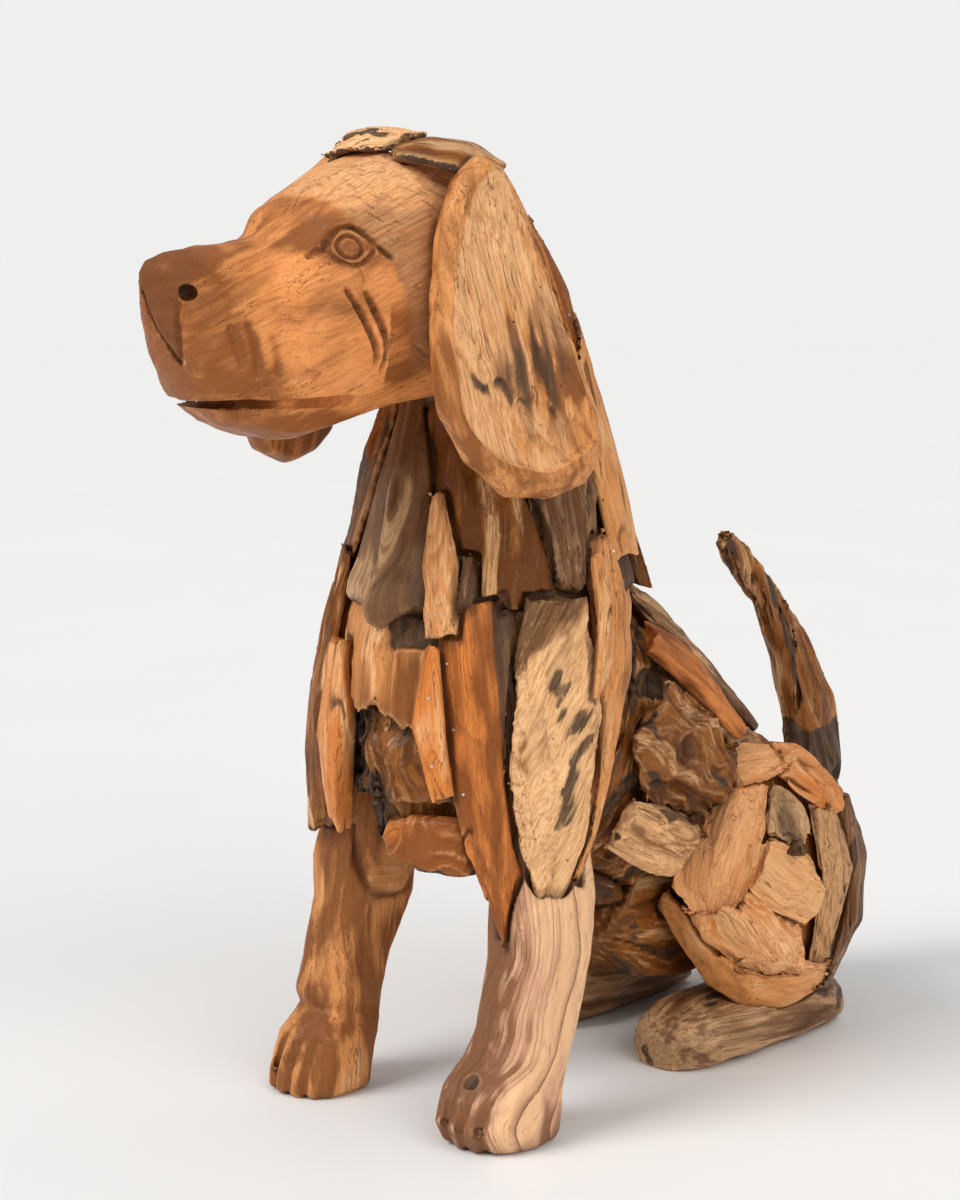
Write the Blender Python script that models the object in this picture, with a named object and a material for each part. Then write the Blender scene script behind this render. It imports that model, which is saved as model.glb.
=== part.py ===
"""Seated hound put together from driftwood offcuts, life size, in metres, +Z up.

The dog looks along -Y and its left side is +X.  The head, the ears, the legs and the feet are
carved.  The neck, the shoulders, the trunk and the haunches are split planks and shards laid like
shingles over thicker blocks.  Every plank is placed on one of three guide surfaces: the chest
barrel, the trunk and the haunches.
"""

import math
import random

import bmesh
import bpy
from mathutils import Matrix, Vector
from mathutils.bvhtree import BVHTree

# ---------------------------------------------------------------- driving dimensions

# The chest barrel and the neck: height, half width, depth in front and behind, middle along Y.
BARREL = (
    (0.09, 0.104, 0.080, 0.080, 0.040),
    (0.15, 0.104, 0.083, 0.090, 0.045),
    (0.21, 0.105, 0.094, 0.105, 0.050),
    (0.27, 0.106, 0.100, 0.124, 0.055),
    (0.33, 0.100, 0.100, 0.134, 0.062),
    (0.39, 0.084, 0.090, 0.096, 0.068),
    (0.44, 0.070, 0.080, 0.074, 0.072),
    (0.51, 0.062, 0.062, 0.047, 0.066),
    (0.59, 0.048, 0.035, 0.006, 0.042),
)
# The trunk: a tapering oval bar from the chest down to the rump.
TRUNK_START = Vector((0.0, 0.105, 0.238))
TRUNK_END = Vector((0.0, 0.330, 0.108))
TRUNK_WIDTHS = (0.088, 0.084)
TRUNK_HEIGHTS = (0.120, 0.076)
# The haunches: two ellipsoids.
HAUNCH_CENTRES = {1: Vector((0.062, 0.279, 0.108)), -1: Vector((-0.062, 0.279, 0.108))}
HAUNCH_RADII = Vector((0.061, 0.097, 0.108))
HAUNCH_INNER = 0.040  # where the haunch blocks meet the rump
# Where the trunk's core takes over from the chest, and the rump from the trunk's core.
CHEST_END, CORE_END = 0.06, 0.46
# Where the chest's blocks meet one another.
BRISKET_SHELF, BREAST_LOW, NECK_LOW, NECK_TOP = 0.205, 0.268, 0.328, 0.460
# The head: its own frame, turned a little to the dog's right.
HEAD_TURN = math.radians(-8)
HEAD_PLACE = Vector((0.0, 0.030, -0.012))

CLEARANCE = 0.0004  # what a piece stands back from the one laid over it
SHARPEST = 4  # how much further than that the room of a sharp corner may reach
BLOCK_INSET = 0.0175  # how far the blocks lie under the guide surface
BLOCK_SIDES = 14
PLANK_BACK = 0.0130  # how far a plank's back lies under the guide surface
CUPPING = 3.6  # how fast a plank's edges bend down, per metre
SAME_VOLUME = 0.0002  # how much a change of facets may change a volume
SHARP_EDGE = math.radians(32)  # facets that meet at more than this are shaded apart
MELT = math.radians(1.5)  # facets that meet at less than this are joined after the cuts

# Plank sections across the grain: share of the half width, share of the height.
ROUND = ((-1, 0.45), (-0.74, 0.84), (-0.28, 1.0), (0.28, 1.0), (0.74, 0.84), (1, 0.45))
RIDGE = ((-1, 0.40), (-0.55, 0.78), (0.12, 1.05), (0.62, 0.70), (1, 0.38))
FLAT = ((-1, 0.58), (-0.80, 0.95), (0.05, 1.0), (0.80, 0.92), (1, 0.52))

WOODS = {
    "carved": ((0.55, 0.27, 0.11), 0.50),
    "amber": ((0.52, 0.24, 0.09), 0.55),
    "tan": ((0.60, 0.36, 0.17), 0.60),
    "pale": ((0.70, 0.46, 0.24), 0.75),
    "brown": ((0.30, 0.15, 0.07), 0.60),
    "grey": ((0.24, 0.17, 0.12), 0.70),
    "char": ((0.10, 0.07, 0.05), 0.80),
}

# ---------------------------------------------------------------- scene helpers


def start_scene():
    for obj in list(bpy.data.objects):
        bpy.data.objects.remove(obj)
    parts = bpy.data.collections.new("driftwood_hound")
    cutters = bpy.data.collections.new("cutters")
    bpy.context.scene.collection.children.link(parts)
    bpy.context.scene.collection.children.link(cutters)
    return parts, cutters


PARTS, CUTTERS = start_scene()
PIECES = []  # (layer, object), in the order in which they are laid


def wood_material(name, wood):
    colour, roughness = WOODS[wood]
    material = bpy.data.materials.new(name)
    material.use_nodes = True
    shader = material.node_tree.nodes["Principled BSDF"]
    shader.inputs["Base Color"].default_value = (*colour, 1)
    shader.inputs["Roughness"].default_value = roughness
    shader.inputs["Metallic"].default_value = 0
    return material


def object_from(name, shape, collection):
    """A new object from a bmesh, with its faces pointing out."""
    bmesh.ops.recalc_face_normals(shape, faces=shape.faces[:])
    mesh = bpy.data.meshes.new(name)
    shape.to_mesh(mesh)
    shape.free()
    obj = bpy.data.objects.new(name, mesh)
    collection.objects.link(obj)
    return obj


def add_piece(name, shape, wood, layer):
    obj = object_from(name, shape, PARTS)
    obj.data.materials.append(wood_material(name, wood))
    PIECES.append((layer, obj))
    return obj


def add_cutter(name, shape):
    obj = object_from(name, shape, CUTTERS)
    obj.hide_render = True
    obj.display_type = "WIRE"
    return obj


def loft(rings):
    """A closed solid through rings that have the same number of points."""
    shape = bmesh.new()
    rows = [[shape.verts.new(point) for point in ring] for ring in rings]
    for low, high in zip(rows, rows[1:]):
        for i in range(len(low)):
            j = (i + 1) % len(low)
            shape.faces.new((low[i], low[j], high[j], high[i]))
    shape.faces.new(rows[0][::-1])
    shape.faces.new(rows[-1])
    return shape


def oval(centre, across, along, half_across, half_along, power=2.3, sides=16, taper=0.0):
    """A superellipse ring; taper widens it towards the end that `along` points to."""
    ring = []
    for i in range(sides):
        angle = 2 * math.pi * i / sides
        c, s = math.cos(angle), math.sin(angle)
        a = math.copysign(abs(c) ** (2 / power), c)
        b = math.copysign(abs(s) ** (2 / power), s)
        ring.append(centre + across * (half_across * a * (1 + taper * b)) + along * (half_along * b))
    return ring


def slice_off(shape, place, way):
    """Cuts a closed shape flat and throws away the part that `way` points to."""
    bmesh.ops.bisect_plane(shape, geom=shape.verts[:] + shape.edges[:] + shape.faces[:],
                           plane_co=place, plane_no=way, clear_outer=True)
    bmesh.ops.holes_fill(shape, edges=[edge for edge in shape.edges if edge.is_boundary])


def lerp_table(table, height):
    """A row of the barrel table at any height."""
    height = min(max(height, table[0][0]), table[-1][0])
    for low, high in zip(table, table[1:]):
        if height <= high[0]:
            t = (height - low[0]) / (high[0] - low[0])
            return [a + t * (b - a) for a, b in zip(low[1:], high[1:])]
    return list(table[-1][1:])


# ---------------------------------------------------------------- guide surfaces


def on_barrel(turn, height):
    """Point and outward direction; turn is 0 at the breast and 90 on the dog's left."""
    half_width, front, rear, middle = lerp_table(BARREL, height)
    a = math.radians(turn)
    depth = front if math.cos(a) > 0 else rear
    point = Vector((half_width * math.sin(a), middle - depth * math.cos(a), height))
    out = Vector((math.sin(a) / half_width, -math.cos(a) / depth, 0)).normalized()
    return point, out


def on_haunch(side, turn, rise):
    """Point and outward direction; turn is 0 in front and 90 on the haunch's outer side."""
    t, r = math.radians(turn), math.radians(rise)
    ball = Vector((side * math.cos(r) * math.sin(t), -math.cos(r) * math.cos(t), math.sin(r)))
    point = HAUNCH_CENTRES[side] + Vector(a * b for a, b in zip(ball, HAUNCH_RADII))
    out = Vector(a / b for a, b in zip(ball, HAUNCH_RADII)).normalized()
    return point, out


def trunk_station(share):
    """Centre, the direction of the spine, half width and half height of the trunk."""
    ahead = (TRUNK_END - TRUNK_START).normalized()
    spine = Vector((1, 0, 0)).cross(ahead)
    half_width = TRUNK_WIDTHS[0] + (TRUNK_WIDTHS[1] - TRUNK_WIDTHS[0]) * share
    half_height = TRUNK_HEIGHTS[0] + (TRUNK_HEIGHTS[1] - TRUNK_HEIGHTS[0]) * share
    return TRUNK_START.lerp(TRUNK_END, share), spine, half_width, half_height


def on_trunk(turn, share):
    """Point and outward direction; turn is 0 on the spine and 90 on the dog's left."""
    centre, spine, half_width, half_height = trunk_station(share)
    a = math.radians(turn)
    left = Vector((1, 0, 0))
    out = spine * (math.cos(a) / half_height) + left * (math.sin(a) / half_width)
    point = centre + spine * (half_height * math.cos(a)) + left * (half_width * math.sin(a))
    return point, out.normalized()


def barrel_path(*stops):
    return [on_barrel(*stop) for stop in stops]


def haunch_path(side, *stops):
    return [on_haunch(side, *stop) for stop in stops]


def trunk_path(*stops):
    return [on_trunk(*stop) for stop in stops]


def head_place(point):
    """A point of the head's own frame, put in the dog's frame."""
    return HEAD_PLACE + Matrix.Rotation(HEAD_TURN, 3, "Z") @ Vector(point)


def head_path(*stops):
    """Stops are a point and an outward direction, both in the head's frame."""
    turn = Matrix.Rotation(HEAD_TURN, 3, "Z")
    return [(head_place(point), (turn @ Vector(out)).normalized()) for point, out in stops]


# ---------------------------------------------------------------- planks and shards


def along(values, share):
    """A value between the entries of a list, at a share of its length."""
    place = share * (len(values) - 1)
    i = min(int(place), len(values) - 2)
    t = place - i
    return values[i] * (1 - t) + values[i + 1] * t


def plank(name, path, half_widths, wood, layer, section=FLAT, rings=5, proud=(0.0, 0.0),
          back=PLANK_BACK, ends=(0.75, 0.65), ragged=0.003):
    """A split plank laid on a path of points and outward directions.

    half_widths and `proud`, how far its crown stands above the path, run from its first end to
    its last.  Its back lies `back` under the path.  `ends` thins its two ends, and `ragged` is how
    far its corners wander along the grain.
    """
    dice = random.Random(name)
    points = [point for point, _ in path]
    outs = [out for _, out in path]
    rows = []
    for i in range(rings):
        share = i / (rings - 1)
        centre, out = along(points, share), along(outs, share).normalized()
        ahead = (along(points, min(1, share + 0.05)) - along(points, max(0, share - 0.05))).normalized()
        across = ahead.cross(out).normalized()
        out = across.cross(ahead).normalized()
        half = along(half_widths, share)
        tip = min(1, 3.2 * min(share, 1 - share))
        end = ends[0] if share < 0.5 else ends[1]
        high = (along(proud, share) + back) * (end + (1 - end) * tip)
        slip = ragged * (2.0 if i in (0, rings - 1) else 0.5)
        row = []
        for a, b in section:
            width = half * a * (1 + dice.uniform(-0.10, 0.10))
            rise = high * b * (1 + dice.uniform(-0.10, 0.10)) - back - CUPPING * width * width
            row.append(centre + across * width + out * rise + ahead * dice.uniform(-slip, slip))
        for a in (0.86, -0.86):
            width = half * a
            row.append(centre + across * width - out * (back + CUPPING * width * width))
        rows.append(row)
    return add_piece(name, loft(rows), wood, layer)


def upright_block(name, stations, wood, layer, sides=12, power=2.5):
    """A block through level ovals: height, middle x, middle y, half width, half depth."""
    rings = [
        oval(Vector((x, y, z)), Vector((1, 0, 0)), Vector((0, 1, 0)), a, b, power, sides)
        for z, x, y, a, b in stations
    ]
    return add_piece(name, loft(rings), wood, layer)


# ---------------------------------------------------------------- head

# Head sections: back from the nose, lowest and highest height, half width low and high.
HEAD_SECTIONS = (
    (-0.218, 0.530, 0.546, 0.012, 0.013),
    (-0.213, 0.506, 0.5515, 0.021, 0.021),
    (-0.205, 0.484, 0.5545, 0.031, 0.0235),
    (-0.195, 0.467, 0.556, 0.038, 0.025),
    (-0.179, 0.453, 0.5575, 0.043, 0.026),
    (-0.150, 0.443, 0.5605, 0.050, 0.028),
    (-0.141, 0.442, 0.5675, 0.053, 0.0395),
    (-0.128, 0.442, 0.577, 0.056, 0.0455),
    (-0.112, 0.445, 0.589, 0.059, 0.049),
    (-0.092, 0.451, 0.600, 0.063, 0.053),
    (-0.060, 0.458, 0.609, 0.067, 0.058),
    (-0.020, 0.462, 0.611, 0.067, 0.056),
    (0.020, 0.464, 0.597, 0.060, 0.046),
    (0.047, 0.465, 0.568, 0.052, 0.036),
    (0.066, 0.466, 0.534, 0.044, 0.030),
)
HEAD_POWER = 2.6
HEAD_SIDES = 18

MOUTH_HEIGHT = 0.4665
MOUTH_OPEN = 0.0042
MOUTH_CORNER = -0.108
EYE_CENTRE = (-0.1105, 0.5555)  # y and z in the head's frame
EYE_RINGS = ((0.0133, 0.0115, 10), (0.0064, 0.0062, 8))  # half length, half height, sides
GROOVE = 0.0018
# The eye's two corners and the two cheek lines, as y and z in the head's frame.
FACE_LINES = (
    ((-0.1260, 0.5550), (-0.1345, 0.5510)),
    ((-0.0950, 0.5540), (-0.0860, 0.5490)),
    ((-0.1170, 0.5325), (-0.1067, 0.5150), (-0.0985, 0.4970), (-0.0988, 0.4850)),
    ((-0.1055, 0.5300), (-0.0960, 0.5130), (-0.0910, 0.5000), (-0.0925, 0.4820)),
)
# The nose's crooked V: on each side from beside the nostril down to its point, as x and z.
NOSE_EDGES = {
    1: ((0.0205, 0.5255), (0.0172, 0.5080), (0.0130, 0.4905)),
    -1: ((-0.0110, 0.5350), (-0.0040, 0.5160), (0.0110, 0.4905)),
}
NOSE_GROOVE = 0.0022
NOSTRIL = (0.0215, -0.2065, 0.531)
NOSTRIL_RADIUS = 0.0050


def head_ring(station):
    y, low, high, wide_low, wide_high = station
    middle, half = (low + high) / 2, (high - low) / 2
    width = (wide_low + wide_high) / 2
    taper = (wide_high - wide_low) / (wide_high + wide_low)
    ring = oval(Vector((0, y, middle)), Vector((1, 0, 0)), Vector((0, 0, 1)), width, half,
                HEAD_POWER, HEAD_SIDES, taper)
    return [head_place(point) for point in ring]


def head_surface(tree, side, y, z):
    """The head's skin at a given y and z, seen from one side."""
    way = Matrix.Rotation(HEAD_TURN, 3, "Z") @ Vector((-side, 0, 0))
    return tree.ray_cast(head_place((side * 0.2, y, z)), way)[0]


def head_front(tree, x, z):
    """The head's skin at a given x and z, seen from in front."""
    way = Matrix.Rotation(HEAD_TURN, 3, "Z") @ Vector((0, 1, 0))
    return tree.ray_cast(head_place((x, -0.4, z)), way)[0]


def groove_cutter(name, points, radius, closed=False):
    """A tube through points, made a mesh so that it can cut."""
    curve = bpy.data.curves.new(name, "CURVE")
    curve.dimensions = "3D"
    curve.bevel_depth = radius
    curve.bevel_resolution = 0
    curve.use_fill_caps = not closed
    spline = curve.splines.new("POLY")
    spline.points.add(len(points) - 1)
    for knot, point in zip(spline.points, points):
        knot.co = (*point, 1)
    spline.use_cyclic_u = closed
    guide = bpy.data.objects.new(name + "_guide", curve)
    CUTTERS.objects.link(guide)
    graph = bpy.context.evaluated_depsgraph_get()
    mesh = bpy.data.meshes.new_from_object(guide.evaluated_get(graph))
    shape = bmesh.new()
    shape.from_mesh(mesh)
    bmesh.ops.remove_doubles(shape, verts=shape.verts[:], dist=0.00001)
    cutter = add_cutter(name, shape)
    cutter.matrix_world = guide.matrix_world
    bpy.data.objects.remove(guide)
    return cutter


def mouth_cutter():
    """A flat slot that follows the muzzle from corner to corner and leaves its middle whole."""
    half = [(0.0, -0.24), (0.07, -0.24), (0.08, MOUTH_CORNER), (0.042, MOUTH_CORNER),
            (0.036, -0.150), (0.022, -0.172), (0.0, -0.176)]
    loop = half + [(-x, y) for x, y in half[-2:0:-1]]
    rings = [[head_place((x, y, MOUTH_HEIGHT + level)) for x, y in loop]
             for level in (-MOUTH_OPEN / 2, MOUTH_OPEN / 2)]
    return add_cutter("mouth_slot", loft(rings))


def cut(obj, cutter):
    modifier = obj.modifiers.new("cut_" + cutter.name, "BOOLEAN")
    modifier.operation = "DIFFERENCE"
    modifier.object = cutter


def stepped(line):
    """The places of a line, with one more halfway between each two of them."""
    places = [line[0]]
    for (a, b), (c, d) in zip(line, line[1:]):
        places += [((a + c) / 2, (b + d) / 2), (c, d)]
    return places


def carve_face(head, side, word):
    """One side of the face: the eye, the cheek lines, the nose's edge and the nostril."""
    tree = BVHTree.FromObject(head, bpy.context.evaluated_depsgraph_get())
    for k, (long, tall, sides) in enumerate(EYE_RINGS):
        ring = []
        for i in range(sides):
            a = 2 * math.pi * i / sides
            ring.append((EYE_CENTRE[0] + long * math.cos(a), EYE_CENTRE[1] + tall * math.sin(a)))
        points = [head_surface(tree, side, *place) for place in ring]
        cut(head, groove_cutter(f"eye_ring_{word}_{k}", points, GROOVE, True))
    for k, line in enumerate(FACE_LINES):
        points = [head_surface(tree, side, *place) for place in stepped(line)]
        cut(head, groove_cutter(f"face_line_{word}_{k}", points, GROOVE))
    points = [head_front(tree, *place) for place in stepped(NOSE_EDGES[side])]
    cut(head, groove_cutter(f"nose_edge_{word}", points, NOSE_GROOVE))
    x, y, z = NOSTRIL
    nostril = bmesh.new()
    bmesh.ops.create_uvsphere(nostril, u_segments=8, v_segments=5, radius=NOSTRIL_RADIUS)
    bmesh.ops.translate(nostril, verts=nostril.verts[:], vec=head_place((side * x, y, z)))
    cut(head, add_cutter(f"nostril_{word}", nostril))


def make_head():
    head = add_piece("head", loft([head_ring(s) for s in HEAD_SECTIONS]), "carved", 4)
    for side, word in ((1, "left"), (-1, "right")):
        carve_face(head, side, word)
    cut(head, mouth_cutter())


# Ear outline in its own plane: back and down from the root, going round from the top.
EAR_OUTLINE = (
    (0.004, -0.002), (-0.014, 0.012), (-0.028, 0.043), (-0.037, 0.079), (-0.043, 0.118),
    (-0.042, 0.152), (-0.029, 0.179), (-0.006, 0.200), (0.022, 0.205), (0.047, 0.197),
    (0.063, 0.180), (0.065, 0.160), (0.055, 0.120), (0.044, 0.075), (0.033, 0.036), (0.020, 0.006),
)
EAR_ROOT = Vector((0.073, -0.040, 0.608))
EAR_FLARE = math.atan2(0.042, 0.20)
EAR_TOE = math.radians(10)
EAR_SWING = {1: 0.0, -1: math.radians(9)}
EAR_SIZE = {1: (1.0, 1.0), -1: (0.86, 0.965)}  # the right ear is narrower and shorter
EAR_THICKNESS = 0.019
EAR_MIDDLE = (0.008, 0.108)
# The slab's rings, from its back to its hollowed face: size, and height as a share of thickness.
EAR_LAYERS = ((0.90, -1.0), (1.0, -0.50), (0.99, 0.0), (0.82, 0.40), (0.74, 0.30))


def make_ear(side, word):
    """A thick carved flap with a chamfered rim and a face that lies a little lower."""
    back = Vector((side * math.sin(EAR_TOE), math.cos(EAR_TOE), 0))
    down = Vector((side * math.sin(EAR_FLARE), 0, -math.cos(EAR_FLARE)))
    out = down.cross(back) * side
    root = Vector((side * EAR_ROOT.x, EAR_ROOT.y, EAR_ROOT.z))
    swing = Matrix.Rotation(EAR_SWING[side], 2)
    rings = []
    for size, rise in EAR_LAYERS:
        ring = []
        for a, b in EAR_OUTLINE:
            u = EAR_MIDDLE[0] + (a - EAR_MIDDLE[0]) * size
            v = EAR_MIDDLE[1] + (b - EAR_MIDDLE[1]) * (1 - (1 - size) * 0.6)
            u, v = swing @ Vector((u * EAR_SIZE[side][0], v * EAR_SIZE[side][1]))
            ring.append(head_place(root + back * u + down * v + out * (EAR_THICKNESS * rise)))
        rings.append(ring)
    add_piece(f"ear_{word}", loft(rings), "tan", 6)


def make_crown():
    """The rough pieces laid over the skull from ear to ear."""
    plank("crown_front", head_path(((-0.034, -0.062, 0.618), (-0.2, -0.3, 1)),
                                   ((-0.008, -0.058, 0.625), (0, -0.3, 1)),
                                   ((0.022, -0.046, 0.624), (0.1, -0.2, 1))),
          (0.014, 0.020, 0.018), "pale", 7, RIDGE, rings=4, back=0.010)
    plank("crown_right", head_path(((-0.051, -0.040, 0.608), (-0.5, -0.1, 0.9)),
                                   ((-0.028, -0.046, 0.617), (-0.2, -0.1, 1))),
          (0.014, 0.020), "grey", 6.5, ROUND, rings=4, back=0.011)
    plank("crown_left", head_path(((0.020, -0.052, 0.616), (0.1, -0.3, 1)),
                                  ((0.044, -0.036, 0.616), (0.3, -0.2, 1)),
                                  ((0.070, -0.018, 0.602), (0.6, 0, 0.8))),
          (0.014, 0.021, 0.014), "brown", 8, ROUND, rings=4, proud=(0.003, 0.003), back=0.008)
    plank("crown_rear", head_path(((0, -0.044, 0.616), (0, 0, 1)),
                                  ((0, -0.006, 0.614), (0, 0.3, 1)),
                                  ((0, 0.030, 0.590), (0, 0.8, 1))),
          (0.028, 0.036, 0.028), "amber", 5, RIDGE, rings=4, proud=(0.002, 0.002), back=0.004)


# ---------------------------------------------------------------- neck, chest and shoulders


def barrel_block(name, stations, wood, layer):
    """A block inside the barrel: height, half width or None for the barrel's own, breast's push."""
    rings = []
    for z, slim, push in stations:
        half_width, front, rear, middle = lerp_table(BARREL, z)
        a = slim or half_width - BLOCK_INSET
        ring = []
        for i in range(BLOCK_SIDES):
            angle = 2 * math.pi * i / BLOCK_SIDES
            depth = rear - BLOCK_INSET
            if math.cos(angle) > 0:
                depth = front - BLOCK_INSET + push * math.cos(angle) ** 6
            ring.append(Vector((a * math.sin(angle), middle - depth * math.cos(angle), z)))
        rings.append(ring)
    shape = loft(rings)
    centre, _, _, _ = trunk_station(CHEST_END)
    if stations[0][0] < NECK_LOW:
        slice_off(shape, centre, TRUNK_END - TRUNK_START)
    return add_piece(name, shape, wood, layer)


def make_neck_and_chest():
    gap = CLEARANCE
    barrel_block("brisket", ((0.163, 0.030, -0.017), (0.182, 0.038, 0.009),
                             (BRISKET_SHELF, 0.044, 0.015), (BRISKET_SHELF + gap, None, 0.015),
                             (0.235, None, 0.015), (BREAST_LOW - gap, None, 0.011)), "brown", 0)
    barrel_block("breast", ((BREAST_LOW, None, 0.016), (0.300, None, 0.018),
                            (NECK_LOW - gap, None, 0.014)), "tan", 1)
    barrel_block("neck_front", ((NECK_LOW, None, 0.019), (0.336, None, 0.024), (0.352, None, 0.017),
                                (0.400, None, 0.017), (0.4465, None, 0.015), (NECK_TOP, None, 0.004)),
                 "grey", 2)
    plank("neck_left", barrel_path((22, 0.450), (34, 0.408), (45, 0.373), (52, 0.326)),
          (0.018, 0.026, 0.034, 0.030), "brown", 3.5, RIDGE, rings=6, proud=(0.003, 0.003))
    plank("neck_left_rear", barrel_path((70, 0.443), (76, 0.408), (82, 0.370), (76, 0.336)),
          (0.022, 0.030, 0.030, 0.014), "grey", 3.2, ROUND)
    plank("neck_right", barrel_path((-34, 0.450), (-42, 0.408), (-52, 0.373), (-60, 0.326)),
          (0.020, 0.028, 0.036, 0.034), "brown", 3.5, RIDGE, proud=(-0.002, -0.002))
    plank("nape_left", barrel_path((104, 0.558), (106, 0.51), (104, 0.46)),
          (0.012, 0.020, 0.015), "amber", 3.4, FLAT, proud=(-0.004, -0.006, -0.001))
    plank("nape_left_low", barrel_path((128, 0.500), (120, 0.43), (118, 0.350)),
          (0.020, 0.030, 0.028), "tan", 3.3, ROUND, proud=(0.000, -0.001, -0.004))
    plank("nape_middle", barrel_path((178, 0.566), (178, 0.48), (174, 0.40), (176, 0.325)),
          (0.024, 0.034, 0.042, 0.044), "brown", 3.1, RIDGE)
    plank("nape_right", barrel_path((-112, 0.560), (-122, 0.46), (-118, 0.335)),
          (0.020, 0.032, 0.036), "tan", 3.3, FLAT)
    plank("breast_shard_pale", barrel_path((22, 0.396), (26, 0.353), (28, 0.310)),
          (0.006, 0.013, 0.012), "tan", 5, RIDGE, proud=(0.006, 0.006), back=0.006)
    plank("breast_shard_dark", barrel_path((36, 0.358), (35, 0.318)),
          (0.007, 0.010), "char", 4, ROUND, rings=4, proud=(0.003, 0.003), back=0.008)
    plank("breast_shard_long", barrel_path((25, 0.304), (25, 0.258), (30, 0.210)),
          (0.005, 0.012, 0.008), "amber", 5, FLAT, proud=(0.006, 0.006), back=0.005)
    plank("brisket_low", barrel_path((4, 0.176), (26, 0.172), (46, 0.176)),
          (0.010, 0.015, 0.012), "amber", 1.5, FLAT, rings=4, proud=(-0.006, -0.006), back=0.022)


def make_shoulders():
    plank("shoulder_left_front", barrel_path((38, 0.332), (44, 0.274), (48, 0.213), (51, 0.124)),
          (0.023, 0.033, 0.033, 0.025, 0.004), "amber", 4.0, RIDGE, rings=6, proud=(0.002, 0.002))
    plank("shoulder_left_middle", barrel_path((71, 0.334), (71, 0.272), (73, 0.211), (71, 0.143)),
          (0.022, 0.033, 0.033, 0.029, 0.009), "pale", 4.4, FLAT, rings=6, proud=(0.005, 0.005))
    plank("shoulder_left_rear", barrel_path((96, 0.366), (101, 0.298), (94, 0.235), (84, 0.153)),
          (0.012, 0.020, 0.017, 0.014, 0.007), "tan", 4.2, ROUND, rings=6, proud=(0.002, 0.002))
    plank("shoulder_left_sliver", barrel_path((88, 0.354), (89, 0.308), (85, 0.269)),
          (0.007, 0.010, 0.005), "tan", 4.8, FLAT, rings=4, proud=(0.007, 0.007), back=0.0)
    plank("shoulder_right_front", barrel_path((-22, 0.300), (-21, 0.238), (-25, 0.178)),
          (0.010, 0.017, 0.010), "amber", 4.1, FLAT, proud=(0.004, 0.004))
    plank("shoulder_right_middle", barrel_path((-44, 0.353), (-47, 0.268), (-52, 0.172)),
          (0.014, 0.021, 0.018), "brown", 4.3, RIDGE, proud=(-0.002, 0.001, 0.015))
    plank("shoulder_right_rear", barrel_path((-74, 0.350), (-74, 0.26), (-72, 0.160)),
          (0.024, 0.034, 0.018), "tan", 4.2, FLAT, proud=(-0.002, -0.002))
    plank("shoulder_right_back", barrel_path((-108, 0.345), (-110, 0.26), (-102, 0.170)),
          (0.024, 0.036, 0.020), "amber", 4.0, ROUND, proud=(-0.002, -0.002))


# ---------------------------------------------------------------- legs and feet

# Carved legs: height, middle x, middle y, half width, half depth.
LEG_LEFT = (
    (0.000, 0.078, -0.007, 0.028, 0.033), (0.004, 0.078, -0.008, 0.032, 0.037),
    (0.016, 0.078, -0.010, 0.034, 0.041), (0.033, 0.078, -0.006, 0.033, 0.039),
    (0.048, 0.078, 0.006, 0.030, 0.033), (0.066, 0.079, 0.014, 0.0285, 0.032),
    (0.086, 0.079, 0.020, 0.0285, 0.032), (0.110, 0.078, 0.027, 0.029, 0.032),
    (0.142, 0.077, 0.032, 0.029, 0.035), (0.168, 0.071, 0.037, 0.025, 0.034),
    (0.2045, 0.068, 0.040, 0.022, 0.034),
)
LEG_RIGHT = (
    (0.000, -0.077, -0.008, 0.027, 0.031), (0.004, -0.077, -0.009, 0.030, 0.033),
    (0.016, -0.077, -0.007, 0.030, 0.034), (0.036, -0.077, -0.001, 0.029, 0.033),
    (0.053, -0.077, 0.011, 0.0235, 0.026), (0.063, -0.077, 0.009, 0.026, 0.028),
    (0.085, -0.077, 0.016, 0.025, 0.028), (0.122, -0.076, 0.031, 0.029, 0.033),
    (0.148, -0.076, 0.034, 0.029, 0.037), (0.172, -0.072, 0.038, 0.026, 0.038),
    (0.2045, -0.068, 0.040, 0.022, 0.034),
)
# Hind feet: share of the length, half width, height.
HIND_FOOT = (
    (0.00, 0.014, 0.024), (0.05, 0.026, 0.036), (0.16, 0.034, 0.042), (0.38, 0.036, 0.044),
    (0.62, 0.034, 0.043), (0.86, 0.029, 0.040), (1.00, 0.020, 0.030),
)
SOLE_WEAR = 0.002  # what is worn off under a hind foot
HIND_FOOT_ENDS = {1: ((0.062, 0.163), (0.069, 0.342)), -1: ((-0.067, 0.172), (-0.066, 0.342))}
TOE_GROOVE = 0.0021


def make_front_leg(word, stations):
    leg = upright_block(f"leg_front_{word}", stations, "tan", 1.2)
    middle, front = stations[2][1], stations[2][2] - stations[2][4]
    for k, offset in enumerate((-0.013, 0.001, 0.014)):
        curl = abs(offset) / 4
        points = [Vector((middle + offset, front + curl + y, z))
                  for y, z in ((0.001, 0.004), (0.004, 0.036))]
        cut(leg, groove_cutter(f"toe_{word}_{k}", points, TOE_GROOVE))


def make_hind_foot(side, word):
    (x0, y0), (x1, y1) = HIND_FOOT_ENDS[side]
    ahead = Vector((x1 - x0, y1 - y0, 0))
    across = Vector((ahead.y, -ahead.x, 0)).normalized()
    rings = [
        oval(Vector((x0, y0, high / 2)) + ahead * share, across, Vector((0, 0, 1)), half, high / 2,
             3.0, 12, -0.10)
        for share, half, high in HIND_FOOT
    ]
    for point in (point for ring in rings for point in ring):
        point.z = max(point.z - SOLE_WEAR, 0)
    add_piece(f"foot_hind_{word}", loft(rings), "grey", 2)


# ---------------------------------------------------------------- trunk and rump


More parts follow.
